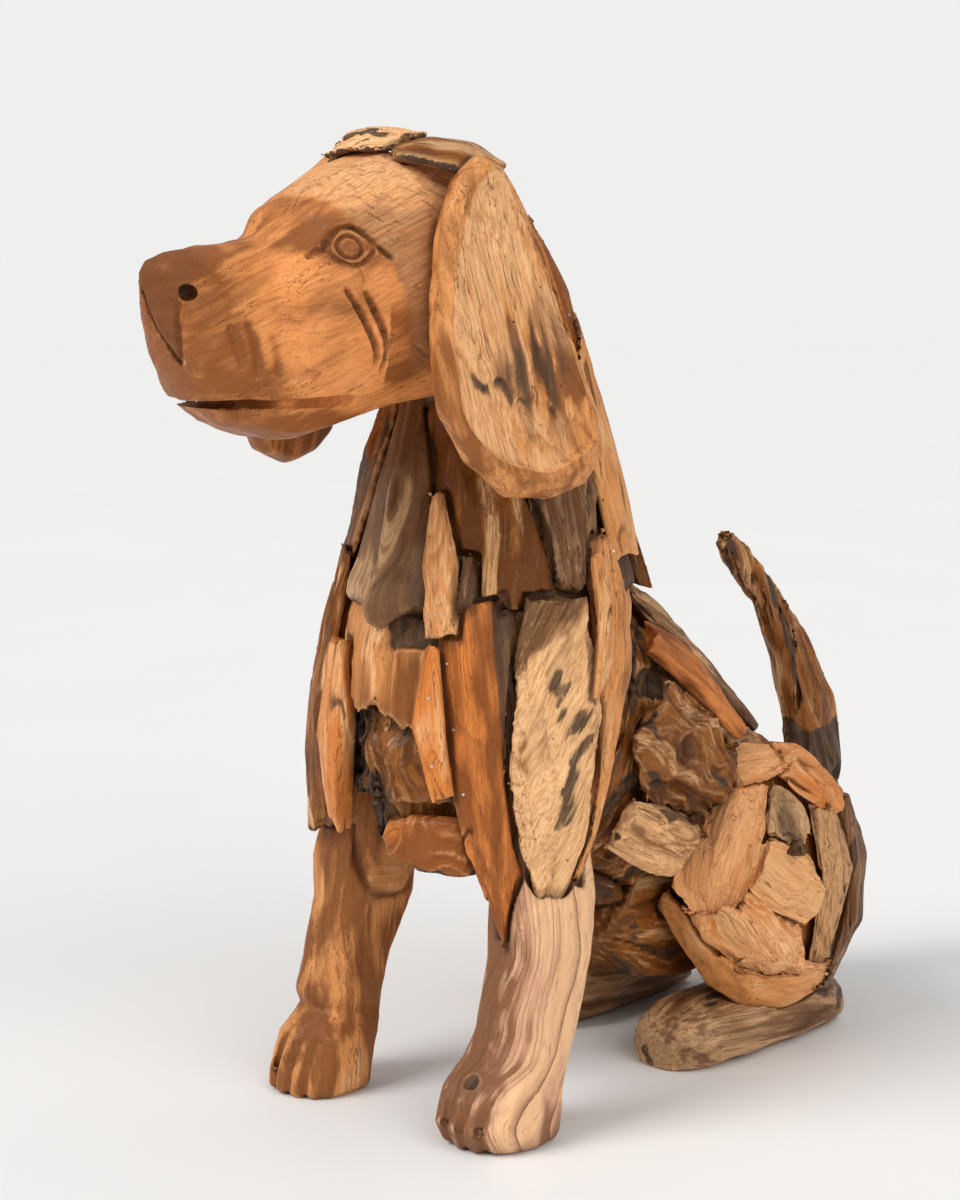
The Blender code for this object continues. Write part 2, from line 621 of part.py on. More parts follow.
def make_trunk_core(name, side, wood, layer):
    """One side of the trunk's core, split along the middle."""
    rings = []
    for i in range(3):
        share = CHEST_END + 0.002 + (CORE_END - CHEST_END - 0.004) * i / 2
        centre, spine, half_width, half_height = trunk_station(share)
        rings.append(oval(centre, Vector((1, 0, 0)), spine, half_width - BLOCK_INSET,
                          half_height - BLOCK_INSET, 2.0, 12))
    shape = loft(rings)
    slice_off(shape, (side * CLEARANCE / 2, 0, 0), (-side, 0, 0))
    return add_piece(name, shape, wood, layer)


def make_rump():
    """The block between the haunches, from the trunk's core to the tail."""
    inner = HAUNCH_INNER - 2 * CLEARANCE
    stations = ((0.045, 0.30, 0.10), (0.080, 0.28, 0.13), (0.130, 0.27, 0.135), (0.170, 0.26, 0.115),
                (0.200, 0.25, 0.07), (0.225, 0.24, 0.03))
    rings = [
        oval(Vector((0, y, z)), Vector((1, 0, 0)), Vector((0, 1, 0)), inner, deep, 4.0, 10)
        for z, y, deep in stations
    ]
    shape = loft(rings)
    centre, _, _, _ = trunk_station(CORE_END)
    slice_off(shape, centre, TRUNK_START - TRUNK_END)
    add_piece("rump", shape, "brown", 0.2)


def make_trunk():
    flank = make_trunk_core("flank_left", 1, "brown", 0.5)
    make_trunk_core("flank_right", -1, "amber", 0.5)
    make_rump()
    burl = plank("flank_left_burl", trunk_path((78, 0.10), (88, 0.32), (88, 0.56)),
                 (0.030, 0.048, 0.036), "brown", 1.6, ROUND)
    hole = bmesh.new()
    bmesh.ops.create_cone(hole, cap_ends=True, segments=10, radius1=0.011, radius2=0.009, depth=0.06)
    bmesh.ops.rotate(hole, verts=hole.verts[:], matrix=Matrix.Rotation(math.radians(90), 3, "Y"))
    bmesh.ops.translate(hole, verts=hole.verts[:], vec=(0.086, 0.128, 0.262))
    hole_cutter = add_cutter("knot_hole", hole)
    for piece in (flank, burl):
        cut(piece, hole_cutter)
    plank("flank_left_rib", trunk_path((52, 0.06), (50, 0.26), (56, 0.52)),
          (0.012, 0.015, 0.008), "amber", 2.2, ROUND, proud=(0.002, 0.002))
    plank("flank_left_low", trunk_path((118, 0.16), (116, 0.34), (120, 0.48)),
          (0.018, 0.028, 0.018), "pale", 2.4, FLAT, rings=4, proud=(0.001, 0.001))
    plank("back_left", trunk_path((26, 0.04), (30, 0.26), (26, 0.70)),
          (0.012, 0.018, 0.015), "grey", 2.6, FLAT, ragged=0.001)
    plank("back_ridge", trunk_path((3, 0.04), (2, 0.34), (2, 0.78)),
          (0.014, 0.020, 0.018), "tan", 2.8, RIDGE, proud=(0.002, 0.002))
    plank("back_right", trunk_path((-28, 0.04), (-28, 0.32), (-24, 0.72)),
          (0.018, 0.024, 0.018), "brown", 2.6, FLAT)
    plank("flank_right_upper", trunk_path((-62, 0.06), (-60, 0.30), (-60, 0.56)),
          (0.022, 0.030, 0.020), "tan", 2.3, ROUND)
    plank("belly", trunk_path((172, 0.14), (172, 0.30), (172, 0.45)),
          (0.034, 0.040, 0.028), "grey", 1.9, FLAT, rings=4, proud=(-0.003, -0.003), back=0.021)


# ---------------------------------------------------------------- haunches


def make_haunch(side, word):
    """The thick piece under the shards of a haunch, hewn flat over the foot."""
    shape = bmesh.new()
    bmesh.ops.create_uvsphere(shape, u_segments=12, v_segments=8, radius=1)
    inset = Vector((BLOCK_INSET, BLOCK_INSET, BLOCK_INSET))
    bmesh.ops.scale(shape, vec=HAUNCH_RADII - inset, verts=shape.verts[:])
    bmesh.ops.translate(shape, vec=HAUNCH_CENTRES[side], verts=shape.verts[:])
    slice_off(shape, (side * HAUNCH_INNER, 0, 0), (-side, 0, 0))
    slice_off(shape, (0, 0.200, 0.085), (0, -0.50, -0.87))
    slice_off(shape, (0, 0, HIND_FOOT[3][2] - SOLE_WEAR + CLEARANCE), (0, 0, -1))
    add_piece(f"haunch_{word}", shape, "tan", 0.8)


def make_haunches():
    make_haunch(1, "left")
    make_haunch(-1, "right")

    def on_left(*stops):
        return haunch_path(1, *stops)

    plank("hip_left", on_left((2, 56), (30, 60), (66, 62)), (0.016, 0.024, 0.014), "amber", 4.6,
          RIDGE, rings=4, proud=(0.004, 0.004), back=0.008)
    plank("thigh_left_front", on_left((34, 52), (28, 32), (22, 10), (24, -4)),
          (0.020, 0.032, 0.033, 0.016), "amber", 4.2, RIDGE, proud=(0.003, 0.003))
    plank("thigh_left_middle", on_left((38, 16), (62, 10), (84, -6)), (0.014, 0.028, 0.018), "tan",
          3.8, RIDGE, rings=4, proud=(0.001, 0.001))
    plank("thigh_left_low", on_left((12, 2), (36, -8), (60, -18), (78, -30)),
          (0.012, 0.026, 0.026, 0.008), "amber", 3.4, ROUND)
    plank("thigh_left_upper", on_left((56, 40), (66, 32), (74, 20)), (0.014, 0.020, 0.014), "grey",
          3.2, ROUND, rings=4, proud=(-0.003, -0.003))
    plank("shank_left", on_left((-26, -4), (14, -22), (48, -36), (88, -42), (118, -36)),
          (0.014, 0.020, 0.020, 0.018, 0.014), "tan", 2.5, FLAT, rings=7, proud=(-0.001, -0.001))
    plank("rump_left_upper", on_left((66, 62), (88, 52), (112, 34)), (0.012, 0.022, 0.014), "amber",
          3.9, ROUND, rings=4)
    plank("rump_left_rear", on_left((98, 44), (100, 6), (104, -42)), (0.012, 0.020, 0.014), "brown",
          3.6, RIDGE)
    plank("rump_left_edge", on_left((122, 32), (124, -6), (122, -44)), (0.012, 0.018, 0.013), "grey",
          3.5, FLAT, rings=4, proud=(0.0, 0.002))

    def on_right(*stops):
        return haunch_path(-1, *stops)

    plank("hip_right", on_right((2, 54), (34, 58), (70, 58)), (0.016, 0.024, 0.014), "tan", 4.6,
          RIDGE, rings=4)
    plank("thigh_right_front", on_right((34, 48), (30, 22), (26, -6)), (0.020, 0.034, 0.016), "tan",
          4.2, RIDGE, rings=4)
    plank("thigh_right_rear", on_right((74, 46), (78, 10), (84, -26)), (0.018, 0.030, 0.018),
          "amber", 3.8, FLAT, rings=4)


# The tail along its length: y, height, half depth, half width.
TAIL = (
    (0.394, 0.072, 0.018, 0.015), (0.413, 0.118, 0.026, 0.018), (0.422, 0.158, 0.029, 0.018),
    (0.413, 0.200, 0.026, 0.016), (0.391, 0.244, 0.0175, 0.014), (0.363, 0.284, 0.0130, 0.011),
    (0.327, 0.318, 0.012, 0.010), (0.309, 0.333, 0.008, 0.007),
)


def make_tail():
    """A weathered branch that stands against the back of the rump and leans forward."""
    rings = []
    for i, (y, z, half_deep, half_wide) in enumerate(TAIL):
        before, after = TAIL[max(0, i - 1)], TAIL[min(len(TAIL) - 1, i + 1)]
        ahead = Vector((0, after[0] - before[0], after[1] - before[1])).normalized()
        deep = ahead.cross(Vector((1, 0, 0)))
        rings.append(oval(Vector((0, y, z)), Vector((1, 0, 0)), deep, half_wide, half_deep, 2.4, 10))
    add_piece("tail", loft(rings), "brown", 5)


# ---------------------------------------------------------------- laying the pieces together


def room_for(obj):
    """A cutter that clears every face of the piece by at least the clearance."""
    shape = bmesh.new()
    shape.from_mesh(obj.data)
    shape.normal_update()
    steps = []
    for vert in shape.verts:
        step = Vector()
        for _ in range(24):
            for face in vert.link_faces:
                step += face.normal * max(0, CLEARANCE - step.dot(face.normal))
        steps.append(step.normalized() * min(step.length, SHARPEST * CLEARANCE))
    for vert, step in zip(shape.verts, steps):
        vert.co += step
    room = add_cutter("room_for_" + obj.name, shape)
    grow = room.modifiers.new("grow", "DISPLACE")
    grow.strength = 0
    grow.mid_level = 0
    return room


def evaluated_mesh(obj):
    graph = bpy.context.evaluated_depsgraph_get()
    return bpy.data.meshes.new_from_object(obj.evaluated_get(graph))


def tree_of(mesh):
    shape = bmesh.new()
    shape.from_mesh(mesh)
    tree = BVHTree.FromBMesh(shape)
    shape.free()
    return tree


def volume_of(mesh):
    """The volume of a closed mesh, or 0 when it isn't closed."""
    shape = bmesh.new()
    shape.from_mesh(mesh)
    closed = len(shape.faces) > 3 and all(edge.is_manifold for edge in shape.edges)
    volume = shape.calc_volume(signed=True) if closed else 0
    shape.free()
    return volume


def in_triangles(mesh, melt, method):
    """The mesh in triangles, after faces that meet at less than `melt` are joined."""
    shape = bmesh.new()
    shape.from_mesh(mesh)
    if melt:
        bmesh.ops.dissolve_limit(shape, angle_limit=melt, verts=shape.verts[:],
                                 edges=shape.edges[:])
    bmesh.ops.triangulate(shape, faces=shape.faces[:], ngon_method=method)
    result = mesh.copy()
    shape.to_mesh(result)
    shape.free()
    return result


def tidy(mesh):
    """Fewer triangles on the same form, as far as that leaves the volume alone."""
    before = volume_of(mesh)
    for melt, method in ((MELT, "BEAUTY"), (MELT, "EAR_CLIP"), (0, "BEAUTY"), (0, "EAR_CLIP")):
        result = in_triangles(mesh, melt, method)
        if abs(volume_of(result) - before) < SAME_VOLUME * before:
            return result
    print("left in its own faces:", mesh.name)
    return mesh


def largest_part(mesh):
    """Removes the offcuts that a cut leaves loose."""
    shape = bmesh.new()
    shape.from_mesh(mesh)
    left = set(shape.verts)
    groups = []
    while left:
        seed = left.pop()
        group, front = {seed}, [seed]
        while front:
            for edge in front.pop().link_edges:
                for vert in edge.verts:
                    if vert in left:
                        left.discard(vert)
                        group.add(vert)
                        front.append(vert)
        groups.append(group)

    def size(group):
        corners = [[pick(vert.co[i] for vert in group) for i in range(3)] for pick in (min, max)]
        return math.dist(*corners)

    keep = max(groups, key=size)
    bmesh.ops.delete(shape, geom=[v for v in shape.verts if v not in keep], context="VERTS")
    shape.to_mesh(mesh)
    shape.free()


def clear_room(obj, room):
    """Cuts the room of an overlying piece out of a piece, a little wider when that fails."""
    before = volume_of(obj.data)
    for solver, wider in (("EXACT", 0), ("EXACT", 0.5), ("MANIFOLD", 0), ("MANIFOLD", 0.5)):
        room.modifiers["grow"].strength = CLEARANCE * wider
        cut(obj, room)
        obj.modifiers[-1].solver = solver
        mesh = evaluated_mesh(obj)
        obj.modifiers.clear()
        if mesh.polygons:
            largest_part(mesh)
        if 0.2 * before < volume_of(mesh) < before:
            obj.data = mesh
            break
    else:
        print("kept whole:", obj.name, room.name)
    room.modifiers["grow"].strength = 0


def fit_together():
    """Each piece makes room for every piece laid over it, and keeps its largest part."""
    order = sorted(range(len(PIECES)), key=lambda i: (PIECES[i][0], i))
    ranked = [PIECES[i][1] for i in order]
    for obj in ranked:
        obj.data = in_triangles(obj.data, 0, "BEAUTY")
    rooms = [room_for(obj) for obj in ranked]
    room_trees = [tree_of(evaluated_mesh(room)) for room in rooms]
    for i, obj in enumerate(ranked):
        obj.data = evaluated_mesh(obj)
        obj.modifiers.clear()
        for k in range(i + 1, len(ranked)):
            if tree_of(obj.data).overlap(room_trees[k]):
                clear_room(obj, rooms[k])
        obj.data = tidy(obj.data)


def settle():
    """Gives each piece its own origin, and stands the dog on the middle of its box."""
    low, high = Vector((9, 9, 9)), Vector((-9, -9, -9))
    for _, obj in PIECES:
        corners = [Vector(corner) for corner in obj.bound_box]
        centre = sum(corners, Vector()) / 8
        low = Vector(map(min, low, *corners))
        high = Vector(map(max, high, *corners))
        obj.data.transform(Matrix.Translation(-centre))
        obj.location = centre
    stand = bpy.data.objects.new("stand", None)
    PARTS.objects.link(stand)
    stand.location = (-(low.x + high.x) / 2, -(low.y + high.y) / 2, -low.z)
    for _, obj in PIECES:
        obj.parent = stand
        obj.data.shade_smooth()
        obj.data.set_sharp_from_angle(angle=SHARP_EDGE)


def main():
    make_head()
    for side, word in ((1, "left"), (-1, "right")):
        make_ear(side, word)
        make_hind_foot(side, word)
    make_crown()
    make_neck_and_chest()
    make_shoulders()
    make_front_leg("left", LEG_LEFT)
    make_front_leg("right", LEG_RIGHT)
    make_trunk()
    make_haunches()
    make_tail()
    fit_together()
    settle()


main()
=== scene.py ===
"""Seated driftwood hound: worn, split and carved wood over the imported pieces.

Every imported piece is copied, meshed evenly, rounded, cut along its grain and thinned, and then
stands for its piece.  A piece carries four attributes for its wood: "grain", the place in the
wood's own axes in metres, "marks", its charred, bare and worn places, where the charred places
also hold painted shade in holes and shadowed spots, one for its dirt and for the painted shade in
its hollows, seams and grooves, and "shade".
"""

import math
import zlib
from collections import namedtuple

import bmesh
import bpy
import numpy as np
from bpy.props import FloatProperty, FloatVectorProperty, PointerProperty
from mathutils import Euler, Matrix, Vector
from mathutils.bvhtree import BVHTree


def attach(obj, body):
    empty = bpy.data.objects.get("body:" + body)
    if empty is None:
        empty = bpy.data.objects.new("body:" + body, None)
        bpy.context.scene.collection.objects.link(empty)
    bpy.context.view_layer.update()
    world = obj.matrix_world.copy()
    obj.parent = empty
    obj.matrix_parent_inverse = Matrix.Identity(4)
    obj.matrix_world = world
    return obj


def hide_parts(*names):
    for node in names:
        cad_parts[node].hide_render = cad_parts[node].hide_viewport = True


bl_info = {
    "name": "Driftwood Hound",
    "version": (1, 0, 0),
    "blender": (4, 5, 0),
    "location": "View3D > Sidebar > Hound",
    "description": "Dresses a seated hound of driftwood offcuts and sets its studio",
    "category": "Object",
}

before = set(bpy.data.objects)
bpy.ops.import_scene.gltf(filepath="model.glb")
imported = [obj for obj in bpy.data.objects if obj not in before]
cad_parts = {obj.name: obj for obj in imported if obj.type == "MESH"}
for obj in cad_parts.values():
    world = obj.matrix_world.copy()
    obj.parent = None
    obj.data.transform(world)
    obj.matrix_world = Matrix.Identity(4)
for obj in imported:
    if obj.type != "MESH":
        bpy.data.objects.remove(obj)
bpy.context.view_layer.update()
BODY = "root"

# ---------------------------------------------------------------- what a user may change


class HoundSizes(bpy.types.PropertyGroup):
    """Sizes of the hound's wood and of its studio."""

    fine_mesh: FloatProperty(
        name="Fine mesh", description="Distance between points on the pieces that show most",
        default=0.0013, min=0.0008, max=0.01, unit="LENGTH")
    coarse_mesh: FloatProperty(
        name="Coarse mesh", description="Distance between points on the pieces that show least",
        default=0.0024, min=0.001, max=0.01, unit="LENGTH")
    kept_share: FloatProperty(
        name="Kept share", description="Share of the triangles kept once a piece is worked",
        default=0.48, min=0.05, max=1.0)
    relief: FloatProperty(
        name="Relief", description="How deep the wood is weathered, as a share of its usual depth",
        default=1.0, min=0.0, max=2.0)
    ring_spacing: FloatProperty(
        name="Ring spacing", description="Distance between two growth rings",
        default=0.0052, min=0.001, max=0.02, unit="LENGTH")
    nail_radius: FloatProperty(
        name="Nail radius", description="Half the width of a nail head",
        default=0.0011, min=0.0005, max=0.004, unit="LENGTH")
    key_strength: FloatProperty(
        name="Key light", description="Strength of the main light, in watts per square metre",
        default=1.9, min=0.0, max=20.0)


def colour(name, description, default):
    """A colour that a user may change."""
    return FloatVectorProperty(name=name, description=description, default=default, size=3,
                               min=0.0, max=1.0, subtype="COLOR")


class HoundColours(bpy.types.PropertyGroup):
    """Colours of the hound's woods and of its studio."""

    carved: colour("Carved teak", "Smooth carved wood of the head", (0.84, 0.315, 0.090))
    amber: colour("Amber wood", "Orange split wood", (0.72, 0.228, 0.045))
    tan: colour("Tan wood", "Lighter worn wood", (0.76, 0.315, 0.098))
    pale: colour("Pale wood", "Freshly torn wood", (0.94, 0.545, 0.260))
    brown: colour("Brown wood", "Weathered brown wood", (0.31, 0.104, 0.017))
    grey: colour("Grey wood", "Weathered grey wood", (0.255, 0.125, 0.055))
    pink: colour("Leg wood", "Pinkish ringed wood of the near leg", (0.72, 0.400, 0.235))
    burnt: colour("Burnt wood", "Scorched brown wood", (0.110, 0.048, 0.020))
    # Also the colour of the painted shade in holes, slits and shadowed spots.
    char: colour("Charred wood", "Burnt and rotten places", (0.040, 0.024, 0.016))
    nail: colour("Nail", "Steel of the nail heads", (0.70, 0.69, 0.67))
    floor: colour("Floor", "Studio floor", (0.90, 0.895, 0.885))
    backdrop: colour("Backdrop", "Light that the background gives back", (0.86, 0.86, 0.855))


# ---------------------------------------------------------------- shader maths


class Value:
    """A socket that varies over a surface; sums of these add Math nodes."""

    def __init__(self, bench, socket):
        self.bench = bench
        self.socket = socket

    def math(self, operation, *others, clamp=False):
        return self.bench.make("ShaderNodeMath", dict(operation=operation, use_clamp=clamp),
                               *others)

    def __add__(self, other):
        return self.math("ADD", self, other)

    def __sub__(self, other):
        return self.math("SUBTRACT", self, other)

    def __mul__(self, other):
        return self.math("MULTIPLY", self, other)

    def __truediv__(self, other):
        return self.math("DIVIDE", self, other)

    def __pow__(self, other):
        return self.math("POWER", self, other)

    def __rsub__(self, other):
        return self.math("SUBTRACT", other, self)

    def __rtruediv__(self, other):
        return self.math("DIVIDE", other, self)

    __radd__ = __add__
    __rmul__ = __mul__

    def root(self):
        """Its square root."""
        return self.math("SQRT", self)

    def held(self):
        """The value held between 0 and 1."""
        return self.math("ADD", self, 0.0, clamp=True)


class Bench:
    """Builds one material's nodes."""

    def __init__(self, name):
        self.material = bpy.data.materials.new(name)
        self.material.use_nodes = True
        self.tree = self.material.node_tree
        self.shader = self.tree.nodes["Principled BSDF"]

    def plug(self, socket, value):
        """Links a varying value to a socket, or sets a plain one."""
        if isinstance(value, Value):
            self.tree.links.new(value.socket, socket)
        elif hasattr(value, "__len__") and len(value) == 3 and socket.type == "RGBA":
            socket.default_value = (*value, 1.0)
        else:
            socket.default_value = value

    def make(self, kind, settings, *values, out=0, **named):
        """A node from its type, its settings, and the values or links of its sockets."""
        node = self.tree.nodes.new(kind)
        for key, value in settings.items():
            setattr(node, key, value)
        for socket, value in zip(node.inputs, values):
            self.plug(socket, value)
        for key, value in named.items():
            self.plug(node.inputs[key.replace("_", " ")], value)
        return Value(self, node.outputs[out])

    def mix(self, share, low, high):
        """A colour between two colours."""
        node = self.tree.nodes.new("ShaderNodeMix")
        node.data_type = "RGBA"
        for index, value in ((0, share), (6, low), (7, high)):
            self.plug(node.inputs[index], value)
        return Value(self, node.outputs[2])

    def stretched(self, place, scales):
        """Places whose three axes are scaled."""
        return self.make("ShaderNodeVectorMath", dict(operation="MULTIPLY"), place, scales)

    def noise(self, place, detail=2.0, roughness=0.5):
        return self.make("ShaderNodeTexNoise", {}, Vector=place, Scale=1.0, Detail=detail,
                         Roughness=roughness)

    def pattern(self, grain, name, detail=2.0, roughness=0.5):
        """Noise that runs with the grain."""
        return self.noise(self.stretched(grain, PATTERNS[name]), detail, roughness)

    def between(self, value, low, high, start=0.0, end=1.0):
        """A smooth step from start to end as the value goes from low to high."""
        return self.make("ShaderNodeMapRange", dict(interpolation_type="SMOOTHSTEP"), value, low,
                         high, start, end)

    def apart(self, place):
        """The three parts of a vector."""
        node = self.tree.nodes.new("ShaderNodeSeparateXYZ")
        self.plug(node.inputs[0], place)
        return [Value(self, socket) for socket in node.outputs]

    def bump(self, height, strength, distance):
        return self.make("ShaderNodeBump", {}, Height=height, Strength=strength,
                         Distance=distance)

    def attribute(self, name, out):
        return self.make("ShaderNodeAttribute", dict(attribute_name=name), out=out)


# How often each pattern of the wood repeats in a metre, along, across and through the grain.
PATTERNS = {
    "sway": (6, 24, 24), "ripple": (45, 140, 140), "streak": (7, 58, 58),
    "strand": (12, 210, 210), "fibre": (24, 720, 720), "pores": (110, 1500, 1500),
    "holes": (120, 120, 120),
}
FIBRE_HEIGHT = 0.0013  # how far the fibres stand out, in metres
WOOD_IOR = 1.31
# How strong the growth rings, their waves, the fibres, the streaks and the worm holes of a wood
# are, and how rough it is.
Wood = namedtuple("Wood", "rings waves fibres streaks holes rough")
WOODS = {
    "carved": Wood(0.32, 1.5, 0.16, 0.32, 0.05, 0.42),
    "amber": Wood(0.38, 1.3, 0.24, 0.55, 0.25, 0.39),
    "tan": Wood(0.38, 1.4, 0.24, 0.50, 0.45, 0.44),
    "pale": Wood(0.42, 1.3, 0.34, 0.60, 0.30, 0.60),
    "brown": Wood(0.36, 1.2, 0.45, 1.50, 0.15, 0.31),
    "grey": Wood(0.36, 1.6, 0.45, 1.40, 0.15, 0.42),
    "burnt": Wood(0.20, 1.4, 0.45, 1.20, 0.05, 0.46),
    "pink": Wood(1.00, 0.5, 0.22, 0.55, 0.08, 0.46),
}
MADE = {}


def scaled(tint, red, green, blue):
    """A colour with each of its parts made stronger or weaker."""
    return Vector((tint[0] * red, tint[1] * green, tint[2] * blue))


def wood_material(name):
    """Wood with growth rings, fibres, streaks and worm holes along its grain, and its marks."""
    if name in MADE:
        return MADE[name]
    kind = WOODS[name]
    colours = bpy.context.scene.hound_colours
    spacing = bpy.context.scene.hound_sizes.ring_spacing
    tone, pale, black = Vector(getattr(colours, name)), Vector(colours.pale), Vector(colours.char)
    deep = scaled(tone, 0.42, 0.34, 0.28).lerp(scaled(Vector(colours.brown), 0.7, 0.7, 0.7), 0.35)
    light = scaled(tone.lerp(pale, 0.50), 1.08, 1.12, 1.15)
    line = scaled(tone, 0.26, 0.19, 0.16)

    bench = Bench(name + "_wood")
    grain = bench.attribute("grain", 1)
    char, bare, worn = bench.apart(bench.attribute("marks", 1))
    dirt_and_shade = bench.attribute("dirt_and_shade", 2)
    shade = bench.attribute("shade", 2)

    sway = bench.pattern(grain, "sway")
    ripple = bench.pattern(grain, "ripple")
    _, across, through = bench.apart(grain)
    radius = (across * across + through * through).root()
    turns = radius / spacing + (sway - 0.5) * (kind.waves * 3.0) + (ripple - 0.5) * 0.30
    number = turns.math("FLOOR", turns)
    year = turns - number
    wet = bench.make("ShaderNodeTexWhiteNoise", dict(noise_dimensions="1D"), W=number)
    late = (year ** 8) * bench.between(wet, 0.15, 0.85)
    band = (wet - 0.5) * 0.7 + (0.5 - year) * 0.35
    streak = bench.pattern(grain, "streak", roughness=0.55)
    strand = bench.pattern(grain, "strand", roughness=0.55)
    fibre = bench.pattern(grain, "fibre", 3.0, 0.6)
    pores = bench.between(bench.pattern(grain, "pores", 1.0), 0.60, 0.70)
    rift = streak.math("ABSOLUTE", strand - 0.5)
    rift = bench.between(rift, 0.016, 0.004) * bench.between(streak, 0.48, 0.60)
    cells = bench.tree.nodes.new("ShaderNodeTexVoronoi")
    bench.plug(cells.inputs["Vector"], bench.stretched(grain, PATTERNS["holes"]))
    cells.inputs["Scale"].default_value = 1.0
    lot, _, _ = bench.apart(Value(bench, cells.outputs["Color"]))
    hole = bench.between(Value(bench, cells.outputs["Distance"]), 0.105, 0.070)
    hole = hole * bench.between(lot, 0.80, 0.84) * kind.holes * 2.0

    level = ((streak - 0.5) * (1.7 * kind.streaks) + (strand - 0.5) * (1.3 * kind.streaks)
             + (shade - 0.5) * 1.3 + band * (0.55 * kind.rings) + 0.5)
    body = bench.mix(bench.between(level, 0.02, 0.50), deep, tone)
    body = bench.mix(bench.between(level, 0.50, 1.05), body, light)
    torn = bench.mix(bench.between(fibre, 0.20, 0.70),
                     scaled(tone.lerp(pale, 0.55), 0.76, 0.64, 0.52),
                     scaled(pale, 1.06, 1.06, 1.08))
    body = bench.mix(bare, body, torn)
    body = bench.mix((late * kind.rings).held(), body, line)
    body = bench.mix((bench.between(fibre, 0.60, 0.30) * kind.fibres).held(), body, deep)
    body = bench.mix((worn * 0.62).held(), body, light)
    body = bench.mix((pores * 0.30 + rift * 0.65).held(), body, line)
    # Dirt, and painted shade in hollows, seams and grooves, darken the colour.
    body = bench.mix((dirt_and_shade * 0.82).held(), body, scaled(deep, 0.22, 0.22, 0.24))
    # Char, and the painted shade of holes, slits and shadowed spots, turn to soot colour.
    soot_and_shade = bench.between(char + (strand - 0.5) * 0.75 + (fibre - 0.5) * 0.25, 0.34, 0.62)
    ash_and_shade = bench.mix(bench.between(strand + (fibre - 0.5) * 0.5, 0.35, 0.75), black,
                    black.lerp(Vector(colours.grey), 0.50))
    body = bench.mix(soot_and_shade * bench.between(char, 0.30, 0.70, 0.62, 0.94), body, ash_and_shade)
    # Worm holes are painted black, as the shade inside them.
    body = bench.mix(hole.held(), body, black)
    bench.plug(bench.shader.inputs["Base Color"], body)

    rough = (fibre - 0.5) * 0.18 + soot_and_shade * 0.06 + dirt_and_shade * 0.14 + bare * 0.16 + kind.rough
    bench.plug(bench.shader.inputs["Roughness"], rough.held())
    height = fibre * 0.34 + strand * 0.50 - late * 0.22 - pores * 0.30 - rift * 0.7 - hole * 1.2
    bench.plug(bench.shader.inputs["Normal"], bench.bump(height, 0.60, FIBRE_HEIGHT))
    bench.shader.inputs["IOR"].default_value = WOOD_IOR
    MADE[name] = bench.material
    return bench.material


# ---------------------------------------------------------------- noise

CELLS = 256  # how many cells the noise has before it repeats
FAR_OFF = 37.3  # keeps the noise's even middle away from a piece's middle
FULL_RANGE = 1.7  # brings the noise up to about -1 and 1


class Noise:
    """Smooth noise in space, between about -1 and 1, the same on every run."""

    def __init__(self, seed):
        dice = np.random.default_rng(seed)
        self.order = dice.permutation(CELLS)
        slopes = dice.normal(size=(CELLS, 3))
        self.slopes = slopes / np.linalg.norm(slopes, axis=1)[:, None]

    def __call__(self, places, along, across=None, through=None):
        """Noise at places, with features of the given sizes along the three axes."""
        across = across or along
        places = places / np.array((along, across, through or across)) + FAR_OFF
        cell = np.floor(places).astype(int)
        inside = places - cell
        ease = inside ** 3 * (inside * (inside * 6 - 15) + 10)
        total = np.zeros(len(places))
        for corner in np.ndindex(2, 2, 2):
            key = np.zeros(len(places), dtype=int)
            weight = np.ones(len(places))
            for axis in range(3):
                key = self.order[(key + cell[:, axis] + corner[axis]) % CELLS]
                weight *= ease[:, axis] if corner[axis] else 1 - ease[:, axis]
            total += weight * ((inside - corner) * self.slopes[key]).sum(axis=1)
        return total * FULL_RANGE


def step(values, low, high):
    """A smooth step from 0 to 1 as the values go from low to high."""
    share = np.clip((values - low) / (high - low), 0, 1)
    return share * share * (3 - 2 * share)


# ---------------------------------------------------------------- a piece being worked

SEAM = 0.0045  # how far from its neighbours a piece is worn and darkened, by dirt and painted shade
LIP = 0.0022  # how far a piece that hangs over another stands out over it
SEAM_GAP = 0.0004  # how far a piece is cut back where it touches another
SHARP_EDGE = 0.35  # how much a sharp edge loses when it is rounded, as a share of the reach
ONE_POINT = 0.00001  # points nearer to each other than this are one
HEART = (0, -0.02, 0.2)  # the middle of the trunk, which the planks face away from
NEIGHBOURS = {}


def seed_of(node):
    """A number that is the same for a piece on every run."""
    return zlib.crc32(node.encode())


def placed(name, shape):
    """A piece in the scene, from a bmesh that is used up."""
    mesh = bpy.data.meshes.new(name)
    shape.to_mesh(mesh)
    shape.free()
    piece = bpy.data.objects.new(name, mesh)
    bpy.context.scene.collection.objects.link(piece)
    return piece


def neighbours(node):
    """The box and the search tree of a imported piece."""
    if node not in NEIGHBOURS:
        shape = bmesh.new()
        shape.from_mesh(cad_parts[node].data)
        corners = np.array([vert.co for vert in shape.verts])
        tree = BVHTree.FromBMesh(shape)
        shape.free()
        NEIGHBOURS[node] = (corners.min(axis=0) - SEAM, corners.max(axis=0) + SEAM, tree)
    return NEIGHBOURS[node]


